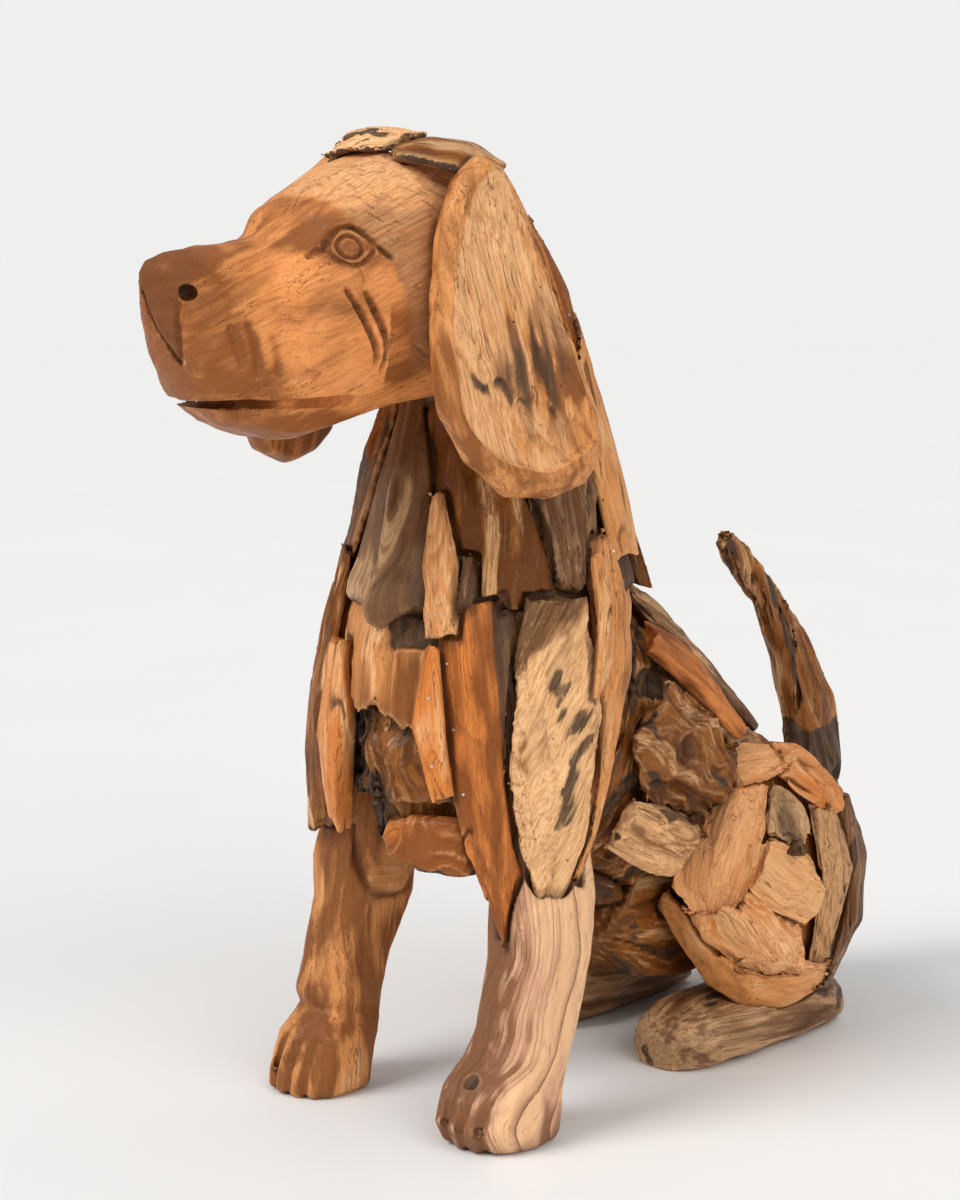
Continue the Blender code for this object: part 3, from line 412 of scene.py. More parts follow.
class Blank:
    """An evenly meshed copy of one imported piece, worked with arrays and then finished."""

    def __init__(self, node, spacing):
        self.node = node
        self.spacing = spacing
        shape = bmesh.new()
        shape.from_mesh(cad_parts[node].data)
        bmesh.ops.remove_doubles(shape, verts=shape.verts[:], dist=ONE_POINT)
        self.piece = placed(node + "_wood", shape)
        self.remade("REMESH", mode="VOXEL", voxel_size=spacing)
        self.drop_crumbs()
        count = len(self.mesh.vertices)
        self.at = np.empty(count * 3)
        self.mesh.vertices.foreach_get("co", self.at)
        self.at = self.at.reshape(-1, 3)
        pairs = np.empty(len(self.mesh.edges) * 2, dtype=int)
        self.mesh.edges.foreach_get("vertices", pairs)
        self.one, self.two = pairs.reshape(-1, 2).T
        self.degree = np.bincount(np.concatenate((self.one, self.two)), minlength=count)
        self.noise = Noise(seed_of(node))
        self.char, self.bare, self.dirt_and_shade, self.tone = np.zeros((4, count))
        self.mottle = 1.0
        self.seam = self.near_others()
        self.out = self.normals()

    def remade(self, kind, **settings):
        """Puts what a modifier makes of the piece in the place of its mesh."""
        tool = self.piece.modifiers.new("tool", kind)
        for key, value in settings.items():
            setattr(tool, key, value)
        graph = bpy.context.evaluated_depsgraph_get()
        self.mesh = bpy.data.meshes.new_from_object(self.piece.evaluated_get(graph))
        self.piece.modifiers.clear()
        worn_out, self.piece.data = self.piece.data, self.mesh
        bpy.data.meshes.remove(worn_out)

    def drop_crumbs(self):
        """Deletes all but the largest connected part of the mesh."""
        shape = bmesh.new()
        shape.from_mesh(self.mesh)
        left = set(shape.verts)
        parts = []
        while left:
            part = [left.pop()]
            for vert in part:
                for edge in vert.link_edges:
                    other = edge.other_vert(vert)
                    if other in left:
                        left.remove(other)
                        part.append(other)
            parts.append(part)
        parts.sort(key=len)
        crumbs = [vert for part in parts[:-1] for vert in part]
        if crumbs:
            bmesh.ops.delete(shape, geom=crumbs, context="VERTS")
            shape.to_mesh(self.mesh)
        shape.free()

    def near_others(self):
        """1 where the piece touches another, down to 0 where it is free."""
        gap = np.full(len(self.at), SEAM)
        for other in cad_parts:
            if other == self.node:
                continue
            low, high, tree = neighbours(other)
            for i in np.flatnonzero(((self.at > low) & (self.at < high)).all(axis=1)):
                distance = tree.find_nearest(self.at[i], gap[i])[3]
                if distance is not None:
                    gap[i] = distance
        return 1 - gap / SEAM

    def around(self, values):
        """The mean of each point's neighbours."""
        count = len(self.at)
        total = (np.bincount(self.one, values[self.two], count)
                 + np.bincount(self.two, values[self.one], count))
        return total / np.maximum(self.degree, 1)

    def smoothed(self, values, rounds):
        """Values or places that are drawn towards their neighbours', round after round."""
        for _ in range(rounds):
            if values.ndim == 1:
                values = (values + self.around(values)) / 2
            else:
                mean = np.stack([self.around(column) for column in values.T], axis=1)
                values = (values + mean) / 2
        return values

    def normals(self):
        """Which way the surface faces at each point, now that the points have moved."""
        self.mesh.vertices.foreach_set("co", self.at.ravel())
        self.mesh.update()
        out = np.empty(len(self.at) * 3)
        self.mesh.vertex_normals.foreach_get("vector", out)
        return out.reshape(-1, 3)

    def soften(self, reach):
        """Rounds the edges off over about `reach` metres, and notes where they were."""
        rounds = max(1, int((reach / self.spacing) ** 2))
        soft = self.smoothed(self.at, rounds)
        lost = ((self.at - soft) * self.out).sum(axis=1)
        self.edge = np.clip(lost / (SHARP_EDGE * reach), -1, 1)
        self.at = soft
        self.out = self.normals()

    def set_grain(self, along=None, slant=0.0, lean=0.0, pith=0.035, sway=0.003):
        """Sets the wood's own axes: along the piece, across it and through it."""
        centre = self.at.mean(axis=0)
        spread = self.at - centre
        _, axes = np.linalg.eigh(spread.T @ spread)
        long, wide = axes[:, 2], axes[:, 1]
        if along is not None:
            long = np.array(along, dtype=float)
            long /= np.linalg.norm(long)
            wide = wide - long * (wide @ long)
            wide /= np.linalg.norm(wide)
        if long[2] < 0:
            long = -long
        through = np.cross(long, wide)
        if through @ (centre - np.array(HEART)) < 0:
            wide, through = -wide, -through
        self.centre, self.long, self.wide, self.through = centre, long, wide, through
        turn = Euler((0, math.radians(lean), math.radians(slant))).to_matrix()
        local = np.stack([spread @ long, spread @ wide, spread @ through], axis=1)
        self.flat = local
        self.half = np.abs(local).max(axis=0)
        bend = np.stack([self.noise(local + 0.2 * k, 0.060, 0.024) for k in range(2)], axis=1)
        self.grain = local @ np.array(turn)
        self.grain[:, 1:] += sway * bend
        self.pith = pith

    def rim(self):
        """1 on the sides of a plank and 0 on its face and back."""
        return 1 - np.abs(self.out @ self.through)

    def scorch_and_shade(self, share):
        """Chars the wood where it isn't charred more already; some of it is painted shade."""
        self.char = np.maximum(self.char, share)

    def strip(self, share):
        """Bares the wood, where it isn't more bare already."""
        self.bare = np.maximum(self.bare, share)

    def soil_and_shade(self, share):
        """Darkens where it isn't darker already: dirt in some places, painted shade in others."""
        self.dirt_and_shade = np.maximum(self.dirt_and_shade, share)

    def cut(self, depth):
        """Moves the surface in by a depth at each point."""
        depth = depth * bpy.context.scene.hound_sizes.relief
        self.at = self.at - self.out * depth[:, None]
        self.out = self.normals()

    def finish(self, wood, shade=0.5):
        """Writes the attributes and makes the copy stand for its piece."""
        self.at[:, 2] = np.maximum(self.at[:, 2], 0.0)
        # Dirt and painted shade: hollows, and seams where the piece meets others, are darkened.
        hollow = ((self.smoothed(self.at, 3) - self.at) * self.out).sum(axis=1) / self.spacing
        patchy = 0.75 + 0.5 * self.noise(self.flat, 0.020, 0.012)
        self.dirt_and_shade = np.clip(self.dirt_and_shade + 0.55 * step(hollow, 0.10, 0.60)
                            + step(self.seam, 0.25, 0.95) * patchy, 0, 1)
        worn = np.clip(step(self.edge, 0.20, 0.75) + step(-hollow, 0.06, 0.40) * 0.8, 0, 1)
        worn *= 1 - step(self.seam, 0.5, 0.9)
        place = self.grain.copy()
        dice = np.random.default_rng(seed_of(self.node) + 1)
        place += np.array((dice.uniform(-1, 1), 0.012 * dice.uniform(-1, 1), self.pith))
        patches = (0.30 * self.noise(self.flat, 0.09, 0.03)
                   + 0.22 * self.noise(self.flat + 0.6, 0.030, 0.011))
        tone = shade + self.tone + self.mottle * patches
        write = (("grain", "FLOAT_VECTOR", "vector", place),
                 ("marks", "FLOAT_VECTOR", "vector",
                  np.stack([self.char, self.bare, worn], axis=1)),
                 ("dirt_and_shade", "FLOAT", "value", self.dirt_and_shade),
                 ("shade", "FLOAT", "value", tone))
        self.normals()
        for name, kind, field, values in write:
            layer = self.mesh.attributes.new(name, kind, "POINT")
            layer.data.foreach_set(field, np.ascontiguousarray(values, dtype=np.float32).ravel())
        self.remade("DECIMATE", ratio=bpy.context.scene.hound_sizes.kept_share)
        self.mesh.shade_smooth()
        self.mesh.materials.clear()
        self.mesh.materials.append(wood_material(wood))
        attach(self.piece, BODY)
        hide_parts(self.node)
        DONE[self.node] = self


DONE = {}

# ---------------------------------------------------------------- ways wood is worked


def carved(blank, depth):
    """Smooth tool work: flat cuts side by side."""
    facets = blank.noise(blank.flat, 0.030, 0.020)
    tool = np.abs(blank.noise(blank.grain, 0.018, 0.008))
    blank.cut(depth * (0.55 * facets + 0.35 * tool))


def chopped(blank, depth):
    """Broad cuts of a chisel that meet in ridges."""
    cuts = [blank.noise(blank.flat + 0.37 * k, 0.055, 0.030) for k in range(3)]
    tool = np.abs(blank.noise(blank.grain, 0.030, 0.008))
    blank.cut(depth * (1.6 - 1.5 * np.max(cuts, axis=0) + 0.30 * tool))


def split(blank, depth):
    """Ridges and splits along the grain, with a few deep cracks."""
    swell = blank.noise(blank.flat, 0.055, 0.020)
    ridge = np.abs(blank.noise(blank.grain, 0.080, 0.0100))
    fine = np.abs(blank.noise(blank.grain, 0.036, 0.0042))
    crack = step(0.085 - np.abs(blank.noise(blank.grain, 0.120, 0.019)), 0, 0.085)
    crack *= step(blank.noise(blank.grain, 0.05, 0.03), 0.0, 0.25)
    blank.cut(depth * (0.9 * swell + 1.7 * ridge + 0.75 * fine + 1.9 * crack + 0.2))
    # Painted shade in the cracks.
    blank.soil_and_shade(crack)


def torn(blank, depth):
    """Fibres torn off in long steps."""
    lift = blank.noise(blank.grain, 0.060, 0.014) * 2.8
    level = np.floor(lift) + step(lift - np.floor(lift), 0.0, 0.25)
    strands = np.abs(blank.noise(blank.grain, 0.040, 0.0042))
    blank.cut(depth * (0.55 * level + 0.95 * strands + 0.6))
    blank.strip(step(lift - np.floor(lift), 0.25, 0.9) * 0.8)


def burled(blank, depth):
    """Swirling grain around knots."""
    sway = np.stack([blank.noise(blank.flat + 0.31 * k, 0.034, 0.030) for k in range(3)], axis=1)
    fold = np.abs(blank.noise(blank.flat + sway * 0.016, 0.050, 0.011))
    deep = step(blank.noise(blank.flat, 0.034, 0.022), 0.25, 0.60)
    blank.cut(depth * (1.9 * fold + 1.6 * deep))
    blank.grain = blank.grain + sway * 0.013
    # Painted shade in the deep pits.
    blank.soil_and_shade(deep * 0.7)


def grow(blank, amount):
    """Widens a piece sideways, so that it closes up to its neighbours."""
    share = blank.smoothed(step(blank.rim(), 0.2, 0.8), 8)
    way = blank.smoothed(blank.out, 12)
    blank.at = blank.smoothed(blank.at + way * (amount * share)[:, None], 3)
    blank.out = blank.normals()


def nibbled(blank, depth):
    """Breaks the long edges of a plank unevenly."""
    bite = step(blank.noise(blank.flat, 0.020, 0.016), -0.1, 0.5)
    chip = step(blank.noise(blank.flat + 0.5, 0.007), 0.0, 0.5)
    near = step(blank.edge, 0.10, 0.6)
    blank.cut(depth * near * (1.3 * bite + 0.7 * chip) + SEAM_GAP * step(blank.seam, 0.1, 0.9))


def frayed(blank, depth):
    """Breaks a piece's two ends off into uneven fibres."""
    share = blank.flat[:, 0] / blank.half[0]
    near = step(np.abs(share), 0.62, 0.98)
    ends = blank.flat.copy()
    ends[:, 0] = np.sign(share)
    torn_off = blank.noise(ends, 1, 0.0120) + 0.5 * blank.noise(ends, 1, 0.0050)
    shift = near * np.clip(depth * (0.15 + 1.1 * torn_off), 0, 0.5 * blank.half[0])
    blank.at = blank.at - np.sign(share)[:, None] * blank.long * shift[:, None]
    blank.at = blank.smoothed(blank.at, 1)
    blank.out = blank.normals()


def hang(blank, bottom, reach, amount):
    """Lets the front of a piece hang down over the one below it, by an amount at each point."""
    low = step(bottom + reach - blank.at[:, 2], 0, reach) * step(-blank.out[:, 1], -0.3, 0.3)
    blank.at[:, 2] -= low * amount
    blank.at[:, 1] -= low * LIP
    blank.out = blank.normals()


def marked(blank, char, bare):
    """Burnt and torn patches; each amount is the share of the piece that has them."""
    if char > 0:
        patch = (blank.noise(blank.flat + 0.7, 0.060, 0.018)
                 + 0.5 * blank.noise(blank.flat, 0.022, 0.007))
        limit = threshold(char)
        blank.scorch_and_shade(step(patch, limit - 0.30, limit + 0.35))
    if bare > 0:
        patch = (blank.noise(blank.flat + 1.3, 0.050, 0.016)
                 + 0.45 * blank.noise(blank.flat, 0.020, 0.006))
        limit = threshold(bare)
        blank.strip(step(patch, limit - 0.12, limit + 0.20))


def threshold(share):
    """The noise above which a patch covers about a share of a piece."""
    return 0.72 - 1.25 * share


def spot(blank, place, radius):
    """1 at a place on the surface, down to 0 at a radius from it."""
    return step(radius - np.linalg.norm(blank.at - np.array(place), axis=1), 0, radius * 0.6)


# How one piece is worked: its wood, the way, the depth in metres, the shares that are charred and
# bare, its tone, the slant and lean of its grain in degrees, the pith's distance, its axis, how
# far it is rounded, broken off at its ends and widened, in metres, how dark its seams and sides
# are made, by dirt and painted shade, how broken its edges are, and whether it shows a lot.
Work = namedtuple("Work", "wood way depth char bare shade slant lean pith along round ends wider"
                  " grime fine", defaults=(split, 0.0010, 0.0, 0.0, 0.5, 0.0, 4.0, 0.035, None,
                                           0.0024, 0.003, 0.0, 0.9, True))
NIBBLE = 0.0014  # how deep the edges of a plank are broken, in metres
UPRIGHT = (0, 0, 1)
CHIP = dict(round=0.003, wider=0.0045, grime=0.3)  # the overlapping chips of the near haunch


def lay(node, work):
    """Works one piece from its blank to its finish."""
    sizes = bpy.context.scene.hound_sizes
    blank = Blank(node, sizes.fine_mesh if work.fine else sizes.coarse_mesh)
    blank.soften(work.round)
    blank.set_grain(work.along, work.slant, work.lean, work.pith)
    if work.ends:
        frayed(blank, work.ends)
    if work.wider:
        grow(blank, work.wider)
    nibbled(blank, NIBBLE * work.grime)
    marked(blank, work.char, work.bare)
    work.way(blank, work.depth)
    # Painted shade: the sides of a plank, which face its neighbours, are darkened.
    blank.soil_and_shade(step(blank.rim(), 0.55, 0.95) * 0.33 * work.grime)
    if node in DETAILS:
        DETAILS[node](blank)
    blank.seam *= work.grime
    blank.finish(work.wood, work.shade)


CROWN = {
    "crown_front": Work("pale", torn, 0.0016, bare=0.35, round=0.003, slant=12, wider=0.004),
    "crown_right": Work("grey", split, 0.0015, char=0.35, round=0.003, wider=0.002),
    "crown_left": Work("brown", chopped, 0.0016, shade=0.60, round=0.004, wider=0.006),
    "crown_rear": Work("amber", split, 0.0012, fine=False),
    "nape_left": Work("amber", split, 0.0010, char=0.10, shade=0.4),
    "nape_left_low": Work("tan", split, 0.0007, char=0.25, bare=0.20, ends=0.0, round=0.005,
                          grime=0.2),
    "nape_middle": Work("brown", split, 0.0005, ends=0.0, round=0.006, grime=0.15),
    "nape_right": Work("tan", split, 0.0012, fine=False),
}
NECK = {
    "neck_front": Work("grey", carved, 0.0016, shade=0.30, along=UPRIGHT, pith=0.0, ends=0.0,
                       wider=0.006),
    "neck_left": Work("brown", carved, 0.0010, shade=0.22, along=UPRIGHT, ends=0.004),
    "neck_left_rear": Work("grey", split, 0.0022, char=0.40, shade=0.28, ends=0.004),
    "neck_right": Work("brown", split, 0.0014, char=0.25, shade=0.25, ends=0.0, wider=0.015,
                       fine=False),
    "breast_shard_pale": Work("tan", torn, 0.0011, char=0.15, bare=0.15),
    "breast_shard_dark": Work("burnt", split, 0.0012, shade=0.6),
    "breast_shard_long": Work("amber", split, 0.0007, shade=0.42),
    "breast": Work("tan", carved, 0.0030, bare=0.30, along=UPRIGHT, shade=0.17, round=0.006,
                   ends=0.0),
    "brisket": Work("brown", burled, 0.0026, char=0.45, along=UPRIGHT, round=0.005, shade=0.20,
                    ends=0.0),
    "brisket_low": Work("amber", burled, 0.0024, char=0.24, round=0.005, shade=0.18, ends=0.0),
}
SHOULDERS = {
    "shoulder_left_front": Work("amber", split, 0.0010, shade=0.27, ends=0.0),
    "shoulder_left_middle": Work("pale", torn, 0.0018, bare=0.55, slant=-30, shade=0.55,
                                 ends=0.0, grime=0.7),
    "shoulder_left_rear": Work("tan", split, 0.0011),
    "shoulder_left_sliver": Work("tan", split, 0.0008, bare=0.20, ends=0.006),
    "shoulder_right_front": Work("amber", split, 0.0009, bare=0.06, shade=0.62, ends=0.004),
    "shoulder_right_middle": Work("brown", split, 0.0014, bare=0.06, shade=0.28, ends=0.008),
    "shoulder_right_rear": Work("tan", split, 0.0012, char=0.15, fine=False),
    "shoulder_right_back": Work("amber", split, 0.0012, fine=False),
}
TRUNK = {
    "flank_left": Work("brown", burled, 0.0022, char=0.30, shade=0.52, ends=0.0),
    "flank_right": Work("amber", split, 0.0014, fine=False),
    "rump": Work("brown", split, 0.0014, char=0.15, ends=0.0, fine=False),
    "flank_left_burl": Work("brown", burled, 0.0034, char=0.22, shade=0.30, round=0.004,
                            ends=0.0, wider=0.004),
    "flank_left_rib": Work("amber", split, 0.0014, char=0.15, shade=0.22, wider=0.001),
    "flank_left_low": Work("pale", torn, 0.0013, char=0.15, bare=0.25, shade=0.3, round=0.003,
                           wider=0.002),
    "back_left": Work("grey", split, 0.0016, char=0.40, bare=0.10, shade=0.4),
    "back_ridge": Work("tan", split, 0.0018, char=0.35, bare=0.25, shade=0.3),
    "back_right": Work("brown", split, 0.0014, fine=False),
    "flank_right_upper": Work("tan", split, 0.0014, fine=False),
    "belly": Work("grey", split, 0.0016, char=0.65, shade=-0.2),
}
HAUNCHES = {
    "haunch_left": Work("tan", chopped, 0.0018, shade=0.12, ends=0.0, grime=0.5),
    "haunch_right": Work("tan", chopped, 0.0018, ends=0.0, fine=False),
    "hip_left": Work("amber", chopped, 0.0030, shade=1.10, ends=0.0, wider=0.004, grime=0.3),
    "thigh_left_front": Work("amber", chopped, 0.0036, shade=0.95, ends=0.0, **CHIP),
    "thigh_left_middle": Work("tan", chopped, 0.0030, bare=0.10, shade=0.95, ends=0.001, **CHIP),
    "thigh_left_low": Work("amber", torn, 0.0016, bare=0.35, shade=0.82, slant=-20, ends=0.001,
                           **CHIP),
    "thigh_left_upper": Work("grey", burled, 0.0020, shade=1.0, ends=0.0, wider=0.003, grime=0.4),
    "shank_left": Work("tan", chopped, 0.0022, shade=0.60, along=(0, 1, -0.3), ends=0.0,
                       wider=0.003, grime=0.5),
    "rump_left_upper": Work("amber", split, 0.0018, char=0.15, shade=0.60, ends=0.001,
                            wider=0.003, grime=0.4),
    "rump_left_rear": Work("brown", split, 0.0014, char=0.15, shade=0.90, ends=0.001,
                           wider=0.003, grime=0.6),
    "rump_left_edge": Work("grey", split, 0.0014, char=0.30, ends=0.001, wider=0.001),
    "hip_right": Work("tan", chopped, 0.0018, fine=False),
    "thigh_right_front": Work("tan", chopped, 0.0018, fine=False),
    "thigh_right_rear": Work("amber", chopped, 0.0018, fine=False),
}
TAIL = {"tail": Work("brown", split, 0.0022, char=0.18, shade=0.54, round=0.003, ends=0.004)}
LEGS = {
    "leg_front_left": Work("pink", carved, 0.0016, lean=0, pith=0.0, along=UPRIGHT, ends=0.0,
                           round=0.003, shade=0.55),
    "leg_front_right": Work("tan", carved, 0.0020, shade=0.27, lean=3, pith=0.030,
                            along=UPRIGHT, ends=0.0, round=0.003),
    "foot_hind_left": Work("grey", carved, 0.0020, char=0.26, shade=0.78, lean=5, ends=0.0,
                           round=0.004),
    "foot_hind_right": Work("grey", carved, 0.0018, lean=5, ends=0.0, shade=0.6, fine=False),
}

# ---------------------------------------------------------------- single pieces' own marks


CROWN_SWELL = 0.0036  # how far the front of a crown piece is thickened, in metres
CROWN_CHAR = {"crown_front": 0.15, "crown_right": 0.15, "crown_left": 0.40}  # more is less char


def burn_front(blank):
    """Thickens the low front side of a crown piece, and chars it."""
    facing = -0.8 * blank.out[:, 1] + 0.3 * blank.out[:, 0] - 0.45 * blank.out[:, 2]
    patch = 0.35 * blank.noise(blank.flat, 0.018, 0.012)
    blank.cut(-CROWN_SWELL * blank.smoothed(step(facing + 0.3 * patch, -0.1, 0.5), 10))
    blank.at = blank.smoothed(blank.at, 2)
    limit = CROWN_CHAR[blank.node]
    blank.scorch_and_shade(step(facing + patch, limit, limit + 0.45))


def rearward(blank):
    """1 where a piece's second axis points to the rear, and otherwise -1."""
    return 1 if blank.wide[1] > 0 else -1


def strip_plank(blank):
    """The dark strip along the rear edge of the first shoulder plank."""
    share = blank.flat[:, 1] / blank.half[1] * rearward(blank)
    wander = 0.12 * blank.noise(blank.flat, 0.050, 0.5)
    high = step(blank.flat[:, 0], -0.055, -0.030)
    strip = step(share + wander, 0.36, 0.44) * high
    blank.scorch_and_shade(0.62 * strip)
    blank.cut(0.0012 * strip)


# Charred patches of the pale plank: how far up and over they lie, how tall and how broad.
PLANK_SPOTS = ((0.036, -0.002, 0.023, 0.0085), (0.012, 0.012, 0.008, 0.013),
               (-0.006, 0.012, 0.006, 0.012), (-0.024, 0.006, 0.015, 0.008),
               (-0.044, 0.002, 0.008, 0.009))
SPOT_SLANT = 0.7  # how far they rise for each metre to the rear


def spot_plank(blank):
    """The brown top and the slanting charred patches of the pale shoulder plank."""
    across = blank.flat[:, 1] * rearward(blank)
    wander = 0.006 * blank.noise(blank.flat, 0.02, 0.015)
    top = step(blank.at[:, 2] + wander - 0.7 * across, 0.308, 0.316)
    blank.bare *= 1 - top
    blank.tone -= 0.85 * top
    blank.scorch_and_shade(0.44 * top)
    blank.soil_and_shade(0.50 * top)
    for up, over, tall, broad in PLANK_SPOTS:
        a, b = blank.flat[:, 0] - up, across - over
        a = a - SPOT_SLANT * b
        off = np.hypot(a / tall, b / broad) + 0.7 * blank.noise(blank.grain, 0.018, 0.004)
        blank.scorch_and_shade(0.64 * step(1 - off, -0.30, 0.50))


NECK_HEART = (0.0045, 0.392)  # x and z


def pale_heart(blank):
    """The pale oval figure and the light and dark lip of the neck's front."""
    x, z = blank.at[:, 0] - NECK_HEART[0], blank.at[:, 2] - NECK_HEART[1]
    heart = np.hypot(x / 0.0085, z / 0.022) + 0.10 * blank.noise(blank.flat, 0.03, 0.02)
    blank.grain[:, 1] = 0.0045 * np.minimum(heart, 2.5) + 0.30 * np.abs(x)
    blank.grain[:, 2] *= 0.15
    low = step(0.410 - blank.at[:, 2], 0, 0.020)
    blank.tone += low * 0.85 * np.exp(-((heart - 1.0) / 0.26) ** 2)
    blank.tone += 0.22 * step(1 - heart, 0, 0.3) + 0.10 * step(0.010 - x, 0, 0.03)
    x = blank.at[:, 0]
    sag = 0.010 - 0.5 * np.abs(x - 0.006) + 0.004 * blank.noise(blank.at, 0.016)
    hang(blank, 0.328, 0.022, np.clip(sag, 0.0, 0.012))
    lip = step(0.350 - blank.at[:, 2] + 0.006 * blank.noise(blank.flat, 0.02), 0, 0.006)
    blank.tone += 0.90 * lip * step(blank.at[:, 2], 0.326, 0.334) * step(0.012 - x, 0, 0.02)
    blank.scorch_and_shade(0.55 * step(x, 0.014, 0.030))


def flute_neck(blank):
    """The fan of flutes on the neck's side, pale on their crests and dark in their hollows."""
    spread = np.arctan2(blank.flat[:, 1], blank.half[0] + 0.075 - blank.flat[:, 0])
    wave = 0.55 * blank.noise(blank.flat, 0.080, 0.030)
    fan = spread / 0.150 + wave
    flute = np.abs(fan - np.round(fan)) * 2
    crest = step(1 - flute, 0.70, 0.95) * step(blank.noise(blank.flat, 0.06, 0.02), -0.3, 0.2)
    small = np.abs(blank.noise(blank.grain, 0.060, 0.0042))
    blank.cut(0.0030 * step(flute, 0, 1) + 0.0008 * small)
    blank.strip(0.50 * crest)
    # Painted shade: the flutes' hollows are darkened, their bottoms with char colour.
    blank.tone += 0.20 - 0.70 * step(flute, 0.35, 1.0)
    blank.scorch_and_shade(0.30 * step(flute, 0.8, 1.0))


def hollow_breast(blank):
    """The dark hollow under the neck's lip, and the ragged low edge of the breast."""
    x, _, z = blank.at.T
    edge = 0.003 * blank.noise(blank.at, 0.012)
    hollow = step(x + edge + 0.25 * (z - 0.31), 0.004, 0.010) * step(z + 1.6 * edge, 0.297, 0.303)
    hollow = hollow * step(0.050 - x, 0, 0.006) * step(-blank.at[:, 1], 0.13, 0.14)
    # Char colour in the hollow: partly a dark stain, partly painted shade under the lip.
    blank.scorch_and_shade(hollow * 0.9)
    blank.cut(0.0045 * hollow + 0.003 * step(z, 0.312, 0.326))
    rag = (0.007 + 0.010 * blank.noise(blank.at, 0.022, 0.5)
           + 0.003 * step(blank.noise(blank.at, 0.008, 0.5), 0.0, 0.15) + 0.12 * (x + 0.02))
    hang(blank, 0.268, 0.016, np.clip(rag, 0.0, 0.018))
    blank.tone += 0.30 * step(z, 0.262, 0.300) - 0.14 * step(x, -0.015, 0.030)


def shade_brisket(blank):
    """The brisket's side behind the strips on the right, cut back and painted dark as shadow."""
    x, _, z = blank.at.T
    edge = 0.004 * blank.noise(blank.flat, 0.02)
    side = step(-0.006 - x - (z - 0.235) * 0.55 + edge, 0, 0.008)
    # Painted shadow: the side is given char colour, where it lies in shade.
    blank.scorch_and_shade(side * 0.8)
    blank.cut(side * 0.0035 + 0.004 * step(z, 0.236, 0.250))
    blank.tone += 0.2 * step(0.215 - z + edge, 0, 0.01)


def close_brisket(blank):
    """Carries the low piece of the brisket up to the one above it."""
    blank.at[:, 2] += 0.011 * step(blank.at[:, 2], 0.168, 0.186)
    blank.out = blank.normals()


TAIL_NICK = (0.0043, 0.1876, 0.3123)


def burn_tail(blank):
    """The tail's black foot, its bitten edges and its pale nick."""
    foot = step(0.194 - blank.at[:, 2] + 0.012 * blank.noise(blank.flat, 0.03, 0.02), 0, 0.010)
    blank.scorch_and_shade(foot)
    lump = blank.noise(blank.flat, 0.034, 0.060)
    blank.cut(0.0034 * step(lump, -0.15, 0.35) * step(blank.rim(), 0.3, 0.9))
    blank.strip(0.9 * spot(blank, TAIL_NICK, 0.0042))


LEG_KNOT = (0.0762, -0.1652, 0.0419)


def knot_leg(blank):
    """The near leg's long rings, its dark knot, its toes and its weathered heel."""
    x, y, z = blank.at.T
    level = 0.76 * x + 0.65 * y
    heights = np.arange(0.005, 0.20, 0.005)
    edge = np.array([np.min(level[np.abs(z - height) < 0.004]) for height in heights])
    share = level - np.interp(z, heights, edge)
    share = share + 0.009 * blank.noise(blank.at, 0.05, 0.05, 0.055)
    knot_off = np.linalg.norm(blank.at - np.array(LEG_KNOT), axis=1)
    tight = 0.040
    rings = np.where(share < tight, share * 1.5, tight * 1.5 + (share - tight) * 0.35)
    blank.grain[:, 1] = rings + 0.008 * np.exp(-(knot_off / 0.014) ** 2) + 0.010
    blank.grain[:, 2] *= 0.1
    strips = step(blank.noise(blank.flat, 0.160, 0.0045), -0.35, 0.35)
    blank.tone += 0.35 * step(share, tight - 0.012, tight + 0.010)
    # Left edge darker: partly brown streaks, partly painted shade on the side away from the light.
    blank.tone -= step(0.024 - share, 0, 0.016) * (0.60 - 0.38 * strips)
    knot = step(0.0066 - knot_off, 0, 0.0030)
    blank.scorch_and_shade(knot)
    blank.cut(0.002 * knot - 0.0012 * step(0.012 - knot_off, 0, 0.008))
    toes(blank, 0.078, -0.160)
    low = step(0.060 - z, 0, 0.045)
    rear = step(y, -0.155, -0.120)
    streaks = step(blank.noise(blank.grain, 0.05, 0.008), -0.1, 0.4)
    blank.scorch_and_shade(0.45 * low * rear * streaks)
    blank.tone -= 0.36 * step(0.065 - z, 0, 0.03)
    patch = step(blank.noise(blank.at, 0.02), -0.3, 0.3)
    blank.tone -= 0.50 * step(0.040 - z, 0, 0.02) * patch
    blank.soil_and_shade(0.40 * step(0.014 - z, 0, 0.014))


TOE_GAPS = (-0.012, 0.002, 0.015)  # how far the flutes are from the foot's middle


def toes(blank, middle, front):
    """Four toes, parted by three gouged flutes."""
    x, y, z = blank.at.T
    fore = step(front + 0.026 - y, 0, 0.010)
    tall = step(0.044 - z, 0, 0.012)
    depth = np.zeros(len(x))
    for offset in TOE_GAPS:
        off = np.abs(x - middle - offset - 0.10 * (z - 0.02))
        depth = np.maximum(depth, step(0.0052 - off, 0, 0.0048))
    depth = depth * fore * tall
    blank.cut(depth * 0.0026)
    # Painted shade: the flutes are darkened by their depth; the foot's front is made lighter.
    blank.soil_and_shade(depth ** 3 * 0.34)
    blank.tone += (0.26 - 0.70 * depth) * fore * tall


# The lobe's edge: x and z.
LOBE = ((-0.060, 0.172), (-0.0565, 0.146), (-0.050, 0.126), (-0.040, 0.118), (-0.030, 0.128),
        (-0.026, 0.148))


